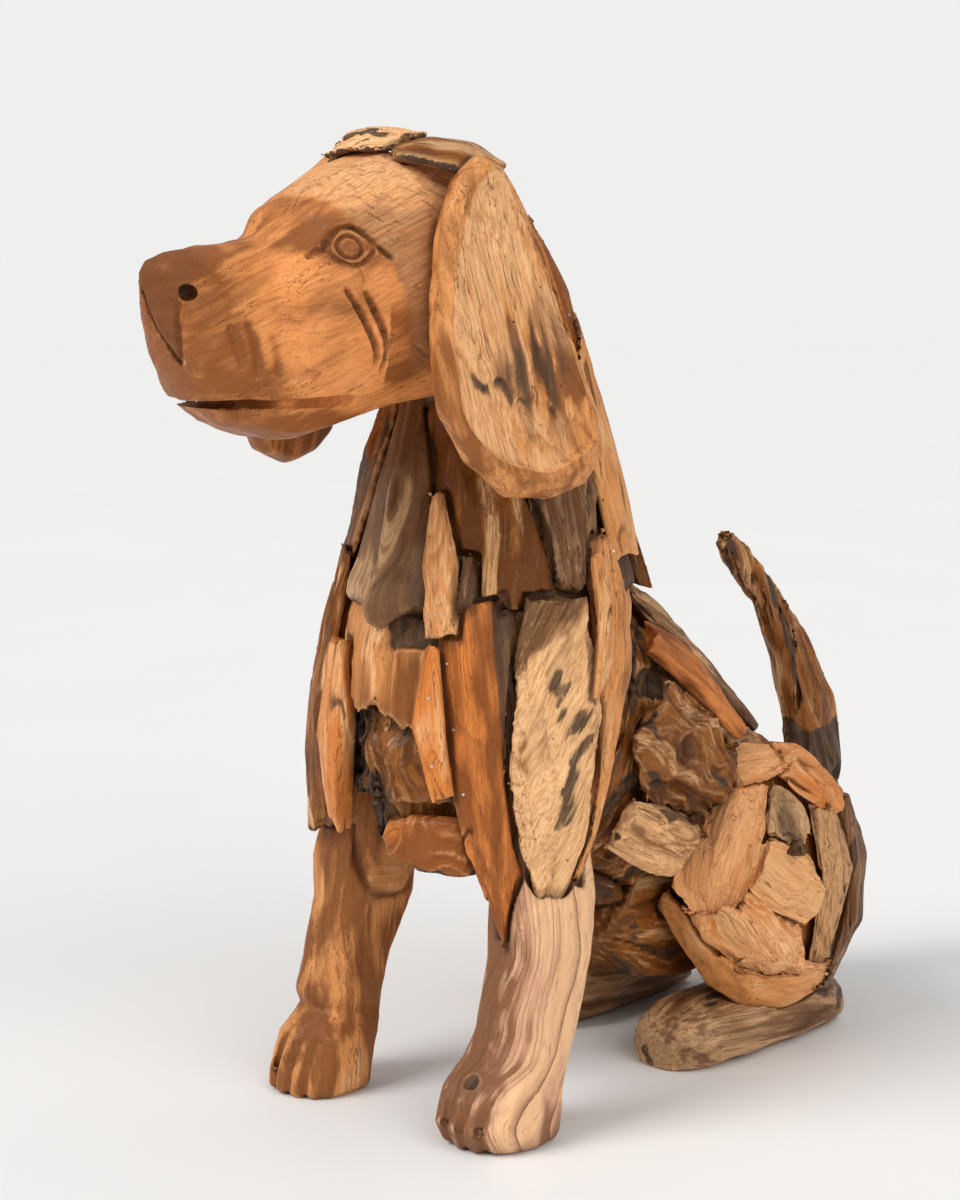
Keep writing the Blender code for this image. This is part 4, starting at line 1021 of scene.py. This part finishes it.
def lobe_leg(blank):
    """The far leg's carved lobe, its long dark bands, its toes and its weathered foot."""
    x, _, z = blank.at.T
    off = from_line(x, z, LOBE)
    front = step(-blank.out[:, 1] + 0.5 * blank.out[:, 0], 0.0, 0.4)
    within = front * step(z - 0.120, 0, 0.008) * step(x + 0.058, 0, 0.008)
    blank.cut(front * groove(off, 0.0022, 0.0036) - 0.0030 * within)
    # Painted shade in the groove around the lobe.
    blank.soil_and_shade(0.8 * front * groove(off, 0.0020, 1.0))
    from_heart = np.hypot(x + 0.036, z - 0.158)
    blank.grain[:, 1] = np.where(within > 0.5, from_heart * 1.3, blank.grain[:, 1])
    blank.grain[:, 2] *= 1 - 0.9 * within
    band = blank.noise(blank.flat + 0.2, 0.120, 0.020)
    blank.tone += 0.20 * band - 0.25 * step(np.abs(blank.flat[:, 1]) / blank.half[1], 0.5, 0.9)
    toes(blank, -0.078, -0.150)
    patch = step(blank.noise(blank.flat, 0.04, 0.01), -0.1, 0.3)
    blank.tone += 0.20 * step(0.045 - z, 0, 0.03) * patch
    blank.tone += 0.15 * within - 0.45 * step(z, 0.150, 0.180)
    blank.scorch_and_shade(0.42 * step(z, 0.155, 0.185) * (1 - within))
    blank.soil_and_shade(0.30 * step(0.012 - z, 0, 0.012))


# How far a chip of the haunch stands out over the chips below it, in metres.
RAISED = {"hip_left": 0.0035, "thigh_left_front": 0.0030, "thigh_left_middle": 0.0014}


def raise_chip(blank):
    """Lets a chip of the haunch overlap its neighbours like a shingle."""
    blank.at = blank.at + blank.through * RAISED[blank.node]


BURL_HOLE = (0.0607, 0.0243, 0.2590)
BURL_BORE = (0.66, -0.73, 0.15)  # which way it is bored


def knot_burl(blank):
    """The hole in the flank, bored straight in and painted black as the shade inside it."""
    bore = np.array(BURL_BORE)
    bore /= np.linalg.norm(bore)
    off = blank.at - np.array(BURL_HOLE)
    off = np.linalg.norm(off - (off @ bore)[:, None] * bore, axis=1)
    off = off + 0.002 * blank.noise(blank.at, 0.01)
    hole = step(0.0125 - off, 0, 0.005)
    # Painted shade: char colour inside the hole.
    blank.scorch_and_shade(hole)
    blank.cut(0.004 * hole)


DETAILS = {
    **{node: burn_front for node in CROWN_CHAR},
    "shoulder_left_front": strip_plank, "shoulder_left_middle": spot_plank,
    "neck_front": pale_heart, "neck_left": flute_neck, "breast": hollow_breast,
    "brisket": shade_brisket, "brisket_low": close_brisket, "tail": burn_tail,
    "leg_front_left": knot_leg, "leg_front_right": lobe_leg, "flank_left": knot_burl,
    "flank_left_burl": knot_burl,
    **{node: raise_chip for node in RAISED},
}

# ---------------------------------------------------------------- head and ears

HEAD_TURN = math.radians(-8)
HEAD_PLACE = Vector((-0.0011, -0.1011, -0.0120))
# All places below are in the head's own frame: y and z on its sides, x and z on its front.
EYE = (-0.1105, 0.5555)
UPPER_LID = ((-0.1245, 0.5550), (-0.1200, 0.5625), (-0.1130, 0.5670), (-0.1060, 0.5668),
             (-0.1000, 0.5625), (-0.0950, 0.5550), (-0.0860, 0.5490))
LOWER_LID = ((-0.1235, 0.5550), (-0.1205, 0.5500), (-0.1150, 0.5460), (-0.1085, 0.5445),
             (-0.1020, 0.5475), (-0.0965, 0.5545))
# Face lines: their places, width and depth, and whether they taper at both ends.
FACE_LINES = (
    (UPPER_LID, 0.0016, 0.0030, False), (LOWER_LID, 0.0012, 0.0021, False),
    (((-0.1235, 0.5553), (-0.1290, 0.5538), (-0.1340, 0.5510)), 0.0018, 0.0026, False),
    (((-0.1070, 0.5430), (-0.1048, 0.5380), (-0.1058, 0.5310)), 0.0006, 0.0012, False),
    (((-0.1172, 0.5330), (-0.1125, 0.5240), (-0.1067, 0.5150), (-0.1015, 0.5055),
      (-0.0982, 0.4960), (-0.0988, 0.4865)), 0.0020, 0.0036, True),
    (((-0.1058, 0.5310), (-0.1015, 0.5228), (-0.0952, 0.5121), (-0.0912, 0.5016),
      (-0.0910, 0.4923), (-0.0935, 0.4817)), 0.0024, 0.0038, True),
)
FLEW_FOLDS = (
    (((-0.1860, 0.5130), (-0.1800, 0.5010), (-0.1790, 0.4880)), 0.0030, 0.0016, True),
    (((-0.1740, 0.5150), (-0.1690, 0.5000), (-0.1700, 0.4820)), 0.0034, 0.0018, True),
    (((-0.1600, 0.5080), (-0.1560, 0.4960), (-0.1570, 0.4820)), 0.0034, 0.0014, True),
)
# Short gouges on the brow, seen from the front: x and z.
BROW_MARKS = (
    (((0.0000, 0.5800), (0.0040, 0.5760), (0.0080, 0.5700)), 0.0022, 0.0018, True),
    (((0.0040, 0.5850), (0.0090, 0.5800), (0.0110, 0.5760)), 0.0007, 0.0012, True),
    (((0.0070, 0.5870), (0.0120, 0.5830), (0.0150, 0.5790)), 0.0007, 0.0012, True),
)
# The nose's two edges, and how deep they are cut.
NOSE_EDGES = (
    (((0.0205, 0.5255), (0.0178, 0.5150), (0.0165, 0.5030), (0.0130, 0.4905)), 0.0016),
    (((-0.0130, 0.5370), (-0.0085, 0.5280), (-0.0040, 0.5160), (0.0110, 0.4905)), 0.0030),
)
NOSTRIL, NOSTRIL_SHAPE = (0.0215, -0.2065, 0.531), (1.5, 1.2, 1.0)
NOSE_CHIP = (0.0150, 0.4920)
SOCKET, BRIDGE = (-0.131, 0.566), (-0.160, 0.548)
BROW_BUMP, BROW_NOTCH = (-0.133, 0.5745), (-0.1440, 0.5650)
# Where the pale temple begins: how far forward, at rising heights.
TEMPLE_LINE = ((0.480, -0.072), (0.515, -0.078), (0.530, -0.084), (0.545, -0.091),
               (0.556, -0.097), (0.566, -0.104), (0.582, -0.117), (0.592, -0.122))


def curved(line):
    """A line of straight stretches with its corners rounded."""
    points = np.array(line)
    for _ in range(2):
        middles = 0.25 * points[:-1] + 0.75 * points[1:], 0.75 * points[:-1] + 0.25 * points[1:]
        pairs = np.stack([middles[1], middles[0]], axis=1).reshape(-1, 2)
        points = np.concatenate([points[:1], pairs, points[-1:]])
    return points


def from_line(a, b, line, shares=False):
    """The distance of points (a, b) to a line, and where along it they are."""
    best, along = np.full(len(a), 1.0), np.zeros(len(a))
    total = len(line) - 1
    for index, ((x0, y0), (x1, y1)) in enumerate(zip(line, line[1:])):
        run = np.array((x1 - x0, y1 - y0))
        share = np.clip(((a - x0) * run[0] + (b - y0) * run[1]) / max(run @ run, 1e-12), 0, 1)
        off = np.hypot(a - x0 - share * run[0], b - y0 - share * run[1])
        along = np.where(off < best, (index + share) / total, along)
        best = np.minimum(best, off)
    return (best, along) if shares else best


def groove(distance, width, depth):
    """The depth of a round groove at a distance from its middle."""
    return depth * np.exp(-(distance / width) ** 2)


def line_cut(a, b, stroke, wobble):
    """The depth of a carved stroke, which may taper at both its ends like a leaf."""
    line, width, depth, leaf = stroke
    off, along = from_line(a, b, curved(line), shares=True)
    full = np.sqrt(np.clip(4 * along * (1 - along), 0, 1)) if leaf else 1.0
    return groove(off + wobble, width * (0.35 + 0.65 * full), depth * full)


def oval(a, b, wide, tall):
    """1 in the middle of an oval, falling off around it."""
    return np.exp(-(np.hypot(a / wide, b / tall)) ** 2)


def model_face(blank, head):
    """The sockets, the bridge, the cheeks and the far brow, and their tones."""
    x, y, z = head.T
    socket = np.exp(-(np.hypot(y - SOCKET[0], z - SOCKET[1]) / 0.012) ** 2)
    bridge = oval(y - BRIDGE[0], z - BRIDGE[1], 0.030, 0.009)
    cheek = step(y, -0.0905, -0.0880) * step(-0.050 - y, 0, 0.03) * step(z, 0.470, 0.480)
    cheek *= step(0.528 - z, 0, 0.02)
    bump = oval(y - BROW_BUMP[0], z - BROW_BUMP[1], 0.014, 0.007) * step(0.002 - x, 0, 0.010)
    notch = oval(y - BROW_NOTCH[0], z - BROW_NOTCH[1], 0.006, 0.006) * step(0.006 - x, 0, 0.010)
    side = sides(x)
    blank.cut(side * (0.0034 * socket + 0.0012 * bridge + 0.0014 * cheek)
              + 0.0030 * notch - 0.0038 * bump)
    # Darker sockets, cheeks and orbits: partly red-brown wood, partly painted shade in hollows.
    blank.tone -= side * (0.50 * socket + 0.25 * cheek)
    orbit = np.exp(-(np.hypot((y - EYE[0]) / 0.016, (z - EYE[1]) / 0.013)) ** 4)
    blank.tone -= side * 0.35 * orbit


def sides(x):
    """1 on the sides of the head and 0 on its front."""
    return step(np.abs(x), 0.018, 0.028)


def cut_face(blank, head, front, lip, wobble):
    """The ringed eyes, the lines around them, the nose's edges and the nostrils."""
    x, y, z = head.T
    side = sides(x)
    ball = np.hypot(y - EYE[0], z - EYE[1])
    depth = side * groove(ball - 0.0064 + wobble, 0.0011, 0.0021)
    for stroke in FACE_LINES:
        depth = np.maximum(depth, side * line_cut(y, z, stroke, wobble))
    for stroke in FLEW_FOLDS:
        fold = side * line_cut(y, z, stroke, wobble)
        # Painted shade: each fold is darkened by its depth.
        blank.tone -= 160 * fold
        depth = np.maximum(depth, fold)
    brow = step(z, 0.562, 0.568) * step(-0.105 - y, 0, 0.006)
    for stroke in BROW_MARKS:
        depth = np.maximum(depth, brow * line_cut(x, z, stroke, wobble))
    depth -= side * 0.0014 * step(0.0056 - ball, 0, 0.004)
    blank.tone += side * 0.14 * step(0.0050 - ball, 0, 0.002)
    for line, deep in NOSE_EDGES:
        off = from_line(x, z, curved(line))
        depth = np.maximum(depth, front * groove(off + wobble, 0.0014, deep))
    depth = depth + lip * 0.0012
    for way in (1, -1):
        off = (head - np.array((way * NOSTRIL[0], *NOSTRIL[1:]))) / np.array(NOSTRIL_SHAPE)
        hole = step(0.0042 - np.linalg.norm(off, axis=1), 0, 0.0022)
        depth = np.maximum(depth, 0.0048 * hole)
        # Painted shade: char colour inside the nostril.
        blank.scorch_and_shade(0.75 * hole)
    # Painted shade: the cut lines, rings, folds and nostrils are darkened by their depth.
    blank.soil_and_shade(step(depth, 0.0008, 0.0034) * 0.52)
    blank.cut(depth)


def weather_face(blank, head, front, lip, cloud):
    """The pale temple with its rows of gouges, the flews, and the darker nose and muzzle."""
    x, y, z = head.T
    edge = 0.012 * blank.noise(blank.at, 0.03)
    lie = np.interp(z, *np.array(TEMPLE_LINE).T)
    temple = step(y - lie + edge * 0.4, -0.002, 0.008) * step(z, 0.475, 0.500)
    patch = temple * step(x, -0.030, 0.0)
    blank.strip(0.42 * patch + 0.20 * patch * step(z, 0.568, 0.588))
    slanted = np.stack([0.84 * y - 0.54 * z, 0.54 * y + 0.84 * z, x], axis=1)
    dash = blank.noise(slanted, 0.024, 0.0021, 0.0060)
    row = step(dash, 0.22, 0.50) * step(blank.noise(blank.at, 0.03), -0.5, 0.1)
    blank.cut(patch * 0.0008 * row)
    # Painted shade in the gouges; the whole temple patch is darkened a little too.
    blank.soil_and_shade(patch * (0.05 + 0.36 * row))
    forehead = patch * step(z, 0.568, 0.588)
    blank.tone += 0.62 * forehead - 0.42 * patch
    lumps = [blank.noise(blank.at + 0.4 * k, 0.034, 0.026) for k in range(3)]
    flew = step(-0.095 - y, 0, 0.03)
    blank.cut(flew * 0.0016 * (0.6 - np.max(lumps, axis=0)))
    nose = front * step(-y + 0.3 * edge, 0.183, 0.203) * step(z, 0.488, 0.500) * (1 - lip)
    inner = step(0.0215 - np.abs(x - 0.002) - (0.536 - z) * 0.22, 0, 0.002)
    # Nose, muzzle, chin: partly red-brown wood, partly painted shade on faces away from the light.
    blank.tone -= 0.70 * nose * inner
    muzzle = step(-y - 0.4 * (z - 0.50) + edge, 0.148, 0.186)
    chin = step(0.462 - z + 0.5 * edge, 0, 0.008) * step(-y, 0.085, 0.105)
    handled = np.maximum(muzzle, chin) * (1 - nose * inner)
    blank.tone -= handled * (0.34 + 0.10 * cloud) + 0.20 * step(z, 0.535, 0.560) * (1 - patch)
    veins = blank.noise(blank.at, 0.030, 0.010, 0.006)
    blank.soil_and_shade(nose * inner * (0.46 + 0.20 * veins))
    chip = np.hypot(x - NOSE_CHIP[0], z - NOSE_CHIP[1])
    blank.strip(front * step(0.0024 - chip, 0, 0.0008))


def carve_face(blank):
    """The whole face, in the head's own frame."""
    turned = Matrix.Rotation(HEAD_TURN, 3, "Z")
    head = (blank.at - np.array(HEAD_PLACE)) @ np.array(turned)
    x, y, z = head.T
    wobble = 0.0004 * blank.noise(blank.at, 0.006)
    model_face(blank, head)
    cloud = blank.noise(blank.at, 0.040, 0.030, 0.024) + 0.5 * blank.noise(blank.at, 0.013, 0.012)
    blank.tone += 0.14 * cloud
    front = step(-y, 0.165, 0.180)
    far = (x + 0.0040 - (0.5160 - z) * 0.60) < 0
    lip = front * far * step(0.536 - z, 0, 0.004) * step(z, 0.474, 0.490)
    cut_face(blank, head, front, lip, wobble)
    weather_face(blank, head, front, lip, cloud)


EAR_WAYS = 48  # in how many directions the ear's outline is felt


def ear_inset(blank, rear):
    """How far each point of an ear is from its outline; the rim is narrow to the rear."""
    flat = blank.flat[:, :2]
    inset = np.full(len(flat), 1.0)
    for k in range(EAR_WAYS):
        angle = 2 * math.pi * k / EAR_WAYS
        way = np.array((math.cos(angle), math.sin(angle)))
        reach = flat @ way
        open_side = step(way[1] * rear + 0.4 * way[0], 0.1, 0.7) * 0.011
        low_side = step(-way[0], 0.4, 0.9) * 0.006
        inset = np.minimum(inset, reach.max() - reach + open_side - low_side)
    return inset


def carve_ear(blank):
    """A worn smooth rim around a rough, weathered face."""
    rear = rearward(blank)
    up = blank.flat[:, 0] / blank.half[0]
    back = blank.flat[:, 1] / blank.half[1] * rear
    inset = ear_inset(blank, rear)
    wander = blank.noise(blank.flat, 0.030) * 0.004
    face = step(inset + wander, 0.0105, 0.0130) * step(blank.out @ blank.through, 0.2, 0.6)
    bark = np.abs(blank.noise(blank.grain, 0.080, 0.022))
    lift = blank.noise(blank.grain, 0.050, 0.024) * 2.6
    level = np.floor(lift) + step(lift - np.floor(lift), 0, 0.12)
    ragged = (blank.noise(blank.flat, 0.020, 0.012)
              + 0.5 * blank.noise(blank.flat, 0.1, 0.005, 0.1))
    step_line = -0.14 - 0.42 * (back + 0.3) + 0.10 * ragged
    low = step(step_line - up, 0.0, 0.05)
    strands = np.abs(blank.noise(blank.grain, 0.060, 0.0060))
    ridge = np.exp(-((back + 0.30) / 0.16) ** 2)
    slit = np.exp(-(((back - 0.74) / 0.07) ** 2 + ((up - 0.12) / 0.24) ** 2) ** 2)
    blank.cut(face * (0.0010 + 0.0030 * bark + 0.0009 * level + 0.0026 * low + 0.0004 * strands
                      - 0.0012 * ridge) + 0.0030 * slit)
    tools = [blank.noise(blank.flat + 0.3 * k, 0.030, 0.020) for k in range(3)]
    blank.cut((1 - face) * (1 - np.max(tools, axis=0)) * 0.0016)
    patch = (blank.noise(blank.flat + 0.4, 0.050, 0.020)
             + 0.5 * blank.noise(blank.grain, 0.026, 0.007))
    fleck = blank.noise(blank.grain + 0.3, 0.016, 0.006)
    pale = 0.30 - 0.55 * back + 0.45 * up
    blank.strip(face * step(patch + pale, -0.25, 0.45) * 0.70)
    stain = np.exp(-(((back - 0.15) / 0.60) ** 2 + ((up + 0.16) / 0.38) ** 2) ** 2)
    edge_low = low * np.exp(-((step_line - up - 0.04) / 0.10) ** 2) * step(0.4 - back, 0, 0.3)
    streaks = blank.noise(blank.grain + 0.2, 0.070, 0.0060) + 0.5 * patch
    streaks = step(streaks, -0.45, 0.45)
    dark = np.maximum(stain * (0.16 + 0.44 * streaks), edge_low * (0.30 + 0.45 * streaks))
    dark = np.maximum(dark, 0.50 * step(up + 0.1 * patch, 0.80, 0.92))
    blank.scorch_and_shade(face * dark)
    # Painted shade: the slit between the ear and the nape strips is given char colour.
    blank.scorch_and_shade(0.8 * slit)
    blank.bare *= 1 - 0.6 * stain * streaks
    blank.tone -= face * 0.50 * step(back + 0.3 * patch, 0.15, 0.60)
    blank.tone += face * (0.40 - 0.30 * stain - 0.65 * stain * streaks
                          + 0.35 * step(fleck, 0.2, 0.4))
    blank.tone -= (1 - face) * (0.06 + 0.18 * step(-up, 0.45, 0.80))
    blank.soil_and_shade(face * (0.03 + 0.16 * stain * streaks))


# ---------------------------------------------------------------- nails

NAILS = {
    "shoulder_left_front": ((0.75, 0.62), (0.42, 0.70), (0.10, 0.66), (-0.22, 0.55), (0.86, -0.2)),
    "neck_left": ((-0.86, 0.1), (-0.82, 0.45), (-0.80, -0.35), (0.2, -0.5)),
    "shoulder_left_rear": ((0.7, 0.0), (-0.3, 0.1)),
    "breast_shard_pale": ((-0.55, 0.1),),
    "breast_shard_long": ((0.35, 0.0), (-0.45, 0.1)),
    "shoulder_right_middle": ((0.3, 0.0),),
    "back_ridge": ((0.6, 0.1), (-0.2, -0.2)),
    "tail": ((0.55, 0.2),),
    "thigh_left_front": ((0.6, 0.3),),
    "nape_left": ((-0.2, 0.0),),
    "crown_left": ((0.1, 0.2),),
    "ear_left": ((0.93, 0.1),),
}


def drive_nail(shape, blank, share_long, share_wide, radius):
    """A nail head set flush on a piece, at shares of its half length and half width."""
    tree = BVHTree.FromObject(blank.piece, bpy.context.evaluated_depsgraph_get())
    start = (Vector(blank.centre) + Vector(blank.long) * (share_long * blank.half[0])
             + Vector(blank.wide) * (share_wide * blank.half[1])
             + Vector(blank.through) * 0.1)
    point, out, _, _ = tree.ray_cast(start, -Vector(blank.through))
    if point is None:
        return
    turn = out.to_track_quat("Z", "Y").to_matrix().to_4x4()
    bmesh.ops.create_cone(shape, cap_ends=True, segments=12, radius1=radius, radius2=radius * 0.75,
                          depth=0.0010, matrix=Matrix.Translation(point + out * 0.0001) @ turn)


# ---------------------------------------------------------------- operators


def lay_all(group):
    """Works every piece of a group."""
    for node, work in group.items():
        lay(node, work)
    return {"FINISHED"}


class HOUND_OT_lay_crown(bpy.types.Operator):
    """Dresses the crown and the nape"""

    bl_idname = "hound.lay_crown"
    bl_label = "Lay the crown"

    def execute(self, context):
        return lay_all(CROWN)


class HOUND_OT_lay_neck(bpy.types.Operator):
    """Dresses the neck, the breast and the brisket"""

    bl_idname = "hound.lay_neck"
    bl_label = "Lay the neck"

    def execute(self, context):
        return lay_all(NECK)


class HOUND_OT_lay_shoulders(bpy.types.Operator):
    """Dresses the long planks of the shoulders"""

    bl_idname = "hound.lay_shoulders"
    bl_label = "Lay the shoulders"

    def execute(self, context):
        return lay_all(SHOULDERS)


class HOUND_OT_carve_legs(bpy.types.Operator):
    """Dresses the legs and the feet"""

    bl_idname = "hound.carve_legs"
    bl_label = "Carve the legs"

    def execute(self, context):
        return lay_all(LEGS)


class HOUND_OT_lay_trunk(bpy.types.Operator):
    """Dresses the flanks, the back and the belly"""

    bl_idname = "hound.lay_trunk"
    bl_label = "Lay the trunk"

    def execute(self, context):
        return lay_all(TRUNK)


class HOUND_OT_lay_haunches(bpy.types.Operator):
    """Dresses the haunches and their shards"""

    bl_idname = "hound.lay_haunches"
    bl_label = "Lay the haunches"

    def execute(self, context):
        return lay_all(HAUNCHES)


class HOUND_OT_set_tail(bpy.types.Operator):
    """Dresses the tail"""

    bl_idname = "hound.set_tail"
    bl_label = "Set the tail"

    def execute(self, context):
        return lay_all(TAIL)


class HOUND_OT_carve_head(bpy.types.Operator):
    """Carves the head and its face"""

    bl_idname = "hound.carve_head"
    bl_label = "Carve the head"

    def execute(self, context):
        blank = Blank("head", context.scene.hound_sizes.fine_mesh)
        blank.soften(0.0020)
        blank.set_grain((0.1, 1.0, 0.42), lean=9, pith=0.030)
        carved(blank, 0.0016)
        carve_face(blank)
        blank.mottle = 0.45
        blank.finish("carved", 0.48)
        return {"FINISHED"}


class HOUND_OT_carve_ears(bpy.types.Operator):
    """Carves the two ears"""

    bl_idname = "hound.carve_ears"
    bl_label = "Carve the ears"

    def execute(self, context):
        for node in ("ear_left", "ear_right"):
            blank = Blank(node, context.scene.hound_sizes.fine_mesh)
            blank.soften(0.0026 if node == "ear_left" else 0.0060)
            blank.set_grain(lean=5, pith=0.03)
            carve_ear(blank)
            blank.finish("tan", 0.36)
        return {"FINISHED"}


class HOUND_OT_drive_nails(bpy.types.Operator):
    """Drives the small nails"""

    bl_idname = "hound.drive_nails"
    bl_label = "Drive the nails"

    def execute(self, context):
        shape = bmesh.new()
        for node, places in NAILS.items():
            for share_long, share_wide in places:
                drive_nail(shape, DONE[node], share_long, share_wide,
                           context.scene.hound_sizes.nail_radius)
        nails = placed("nail_heads", shape)
        bench = Bench("nail_steel")
        spots = bench.noise(bench.make("ShaderNodeTexCoord", {}, out=3), 3.0)
        steel = Vector(context.scene.hound_colours.nail)
        bench.plug(bench.shader.inputs["Base Color"],
                   bench.mix(bench.between(spots, 0.4, 0.7), steel, steel * 0.7))
        bench.plug(bench.shader.inputs["Roughness"], spots * 0.3 + 0.25)
        bench.shader.inputs["Metallic"].default_value = 0.9
        nails.data.materials.append(bench.material)
        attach(nails, BODY)
        return {"FINISHED"}


FLOOR_RADIUS = 9.0
FLOOR_FADE = (0.22, 0.95)  # where the floor begins and ends to fade, as shares of its radius
AMBIENT = 0.42  # the light of the backdrop, as a share of the light it shows
# Lights: name, place, how wide they look in degrees, and strength as a share of the key light's.
LIGHTS = (
    ("key_light", (-0.9, -2.4, 2.4), 34, 1.0),
    ("top_light", (0.3, 0.6, 3.0), 60, 0.20),
    ("side_light", (2.6, -0.6, 1.6), 50, 0.58),
)
SENSOR, FOCAL_LENGTH = 36.0, 89.16  # in millimetres
CAMERA_PLACE = (1.2359, -1.4451, 0.608)
CAMERA_AZIMUTH, CAMERA_PITCH = 42.0, 8.93  # in degrees, the second one downwards


def set_floor(tone):
    """A round floor that fades out far from the hound."""
    shape = bmesh.new()
    bmesh.ops.create_circle(shape, cap_ends=True, segments=96, radius=FLOOR_RADIUS)
    floor = placed("studio_floor", shape)
    bench = Bench("floor_paint")
    place = bench.make("ShaderNodeTexCoord", {}, out=3)
    away = bench.make("ShaderNodeVectorMath", dict(operation="LENGTH"), place, out=1)
    grime = bench.noise(bench.stretched(place, (3, 3, 3)), 3.0)
    bench.plug(bench.shader.inputs["Base Color"],
               bench.mix(bench.between(grime, 0.35, 0.7), tone * 0.985, tone))
    near, far = FLOOR_FADE
    bench.plug(bench.shader.inputs["Alpha"],
               bench.between(away, FLOOR_RADIUS * near, FLOOR_RADIUS * far, 1.0, 0.0))
    bench.shader.inputs["Roughness"].default_value = 0.55
    floor.data.materials.append(bench.material)


def set_backdrop(scene, tone):
    """A plain backdrop, which gives back less light than it shows."""
    world = bpy.data.worlds.new("studio_world")
    scene.world = world
    world.use_nodes = True
    tree = world.node_tree
    sky = tree.nodes["Background"]
    ray = tree.nodes.new("ShaderNodeLightPath")
    glow = tree.nodes.new("ShaderNodeMix")
    glow.inputs[2].default_value = AMBIENT
    glow.inputs[3].default_value = 1.0
    tree.links.new(ray.outputs["Is Camera Ray"], glow.inputs[0])
    tree.links.new(glow.outputs[0], sky.inputs["Strength"])
    sky.inputs["Color"].default_value = (*tone, 1)
    scene.view_settings.view_transform = "Standard"


def set_lights(collection, key_strength):
    """Three wide lights that face the hound."""
    for name, place, angle, share in LIGHTS:
        lamp = bpy.data.lights.new(name, "SUN")
        lamp.angle = math.radians(angle)
        lamp.energy = share * key_strength
        light = bpy.data.objects.new(name, lamp)
        light.location = place
        light.rotation_euler = (-Vector(place)).to_track_quat("-Z", "Y").to_euler()
        collection.objects.link(light)


def set_camera(scene):
    """The camera, upright and a little above the hound's back."""
    lens = bpy.data.cameras.new("camera")
    lens.sensor_fit = "VERTICAL"
    lens.sensor_height = SENSOR
    lens.lens = FOCAL_LENGTH
    camera = bpy.data.objects.new("camera", lens)
    camera.location = CAMERA_PLACE
    camera.rotation_euler = Euler((math.radians(90 - CAMERA_PITCH), 0,
                                   math.radians(CAMERA_AZIMUTH)))
    scene.collection.objects.link(camera)
    scene.camera = camera


class HOUND_OT_set_stage(bpy.types.Operator):
    """Sets the floor, the backdrop, the lights and the camera"""

    bl_idname = "hound.set_stage"
    bl_label = "Set the stage"

    def execute(self, context):
        scene = context.scene
        set_floor(Vector(scene.hound_colours.floor))
        set_backdrop(scene, scene.hound_colours.backdrop)
        set_lights(scene.collection, scene.hound_sizes.key_strength)
        set_camera(scene)
        return {"FINISHED"}


class HOUND_PT_panel(bpy.types.Panel):
    """Lists the hound's sizes, colours and steps"""

    bl_idname = "HOUND_PT_panel"
    bl_label = "Driftwood Hound"
    bl_space_type = "VIEW_3D"
    bl_region_type = "UI"
    bl_category = "Hound"

    def draw(self, context):
        for group in (context.scene.hound_sizes, context.scene.hound_colours):
            for name in group.__annotations__:
                self.layout.prop(group, name)
        for step_class in STEPS:
            self.layout.operator(step_class.bl_idname)


STEPS = (HOUND_OT_carve_head, HOUND_OT_carve_ears, HOUND_OT_lay_crown, HOUND_OT_lay_neck,
         HOUND_OT_lay_shoulders, HOUND_OT_carve_legs, HOUND_OT_lay_trunk, HOUND_OT_lay_haunches,
         HOUND_OT_set_tail, HOUND_OT_drive_nails, HOUND_OT_set_stage)
CLASSES = (HoundSizes, HoundColours, *STEPS, HOUND_PT_panel)


def register():
    for kind in CLASSES:
        bpy.utils.register_class(kind)
    bpy.types.Scene.hound_sizes = PointerProperty(type=HoundSizes)
    bpy.types.Scene.hound_colours = PointerProperty(type=HoundColours)


def unregister():
    del bpy.types.Scene.hound_colours
    del bpy.types.Scene.hound_sizes
    for kind in reversed(CLASSES):
        bpy.utils.unregister_class(kind)


def main():
    """Takes every step in order."""
    register()
    for step_class in STEPS:
        getattr(bpy.ops.hound, step_class.bl_idname.split(".")[1])()


if __name__ == "__main__":
    main()
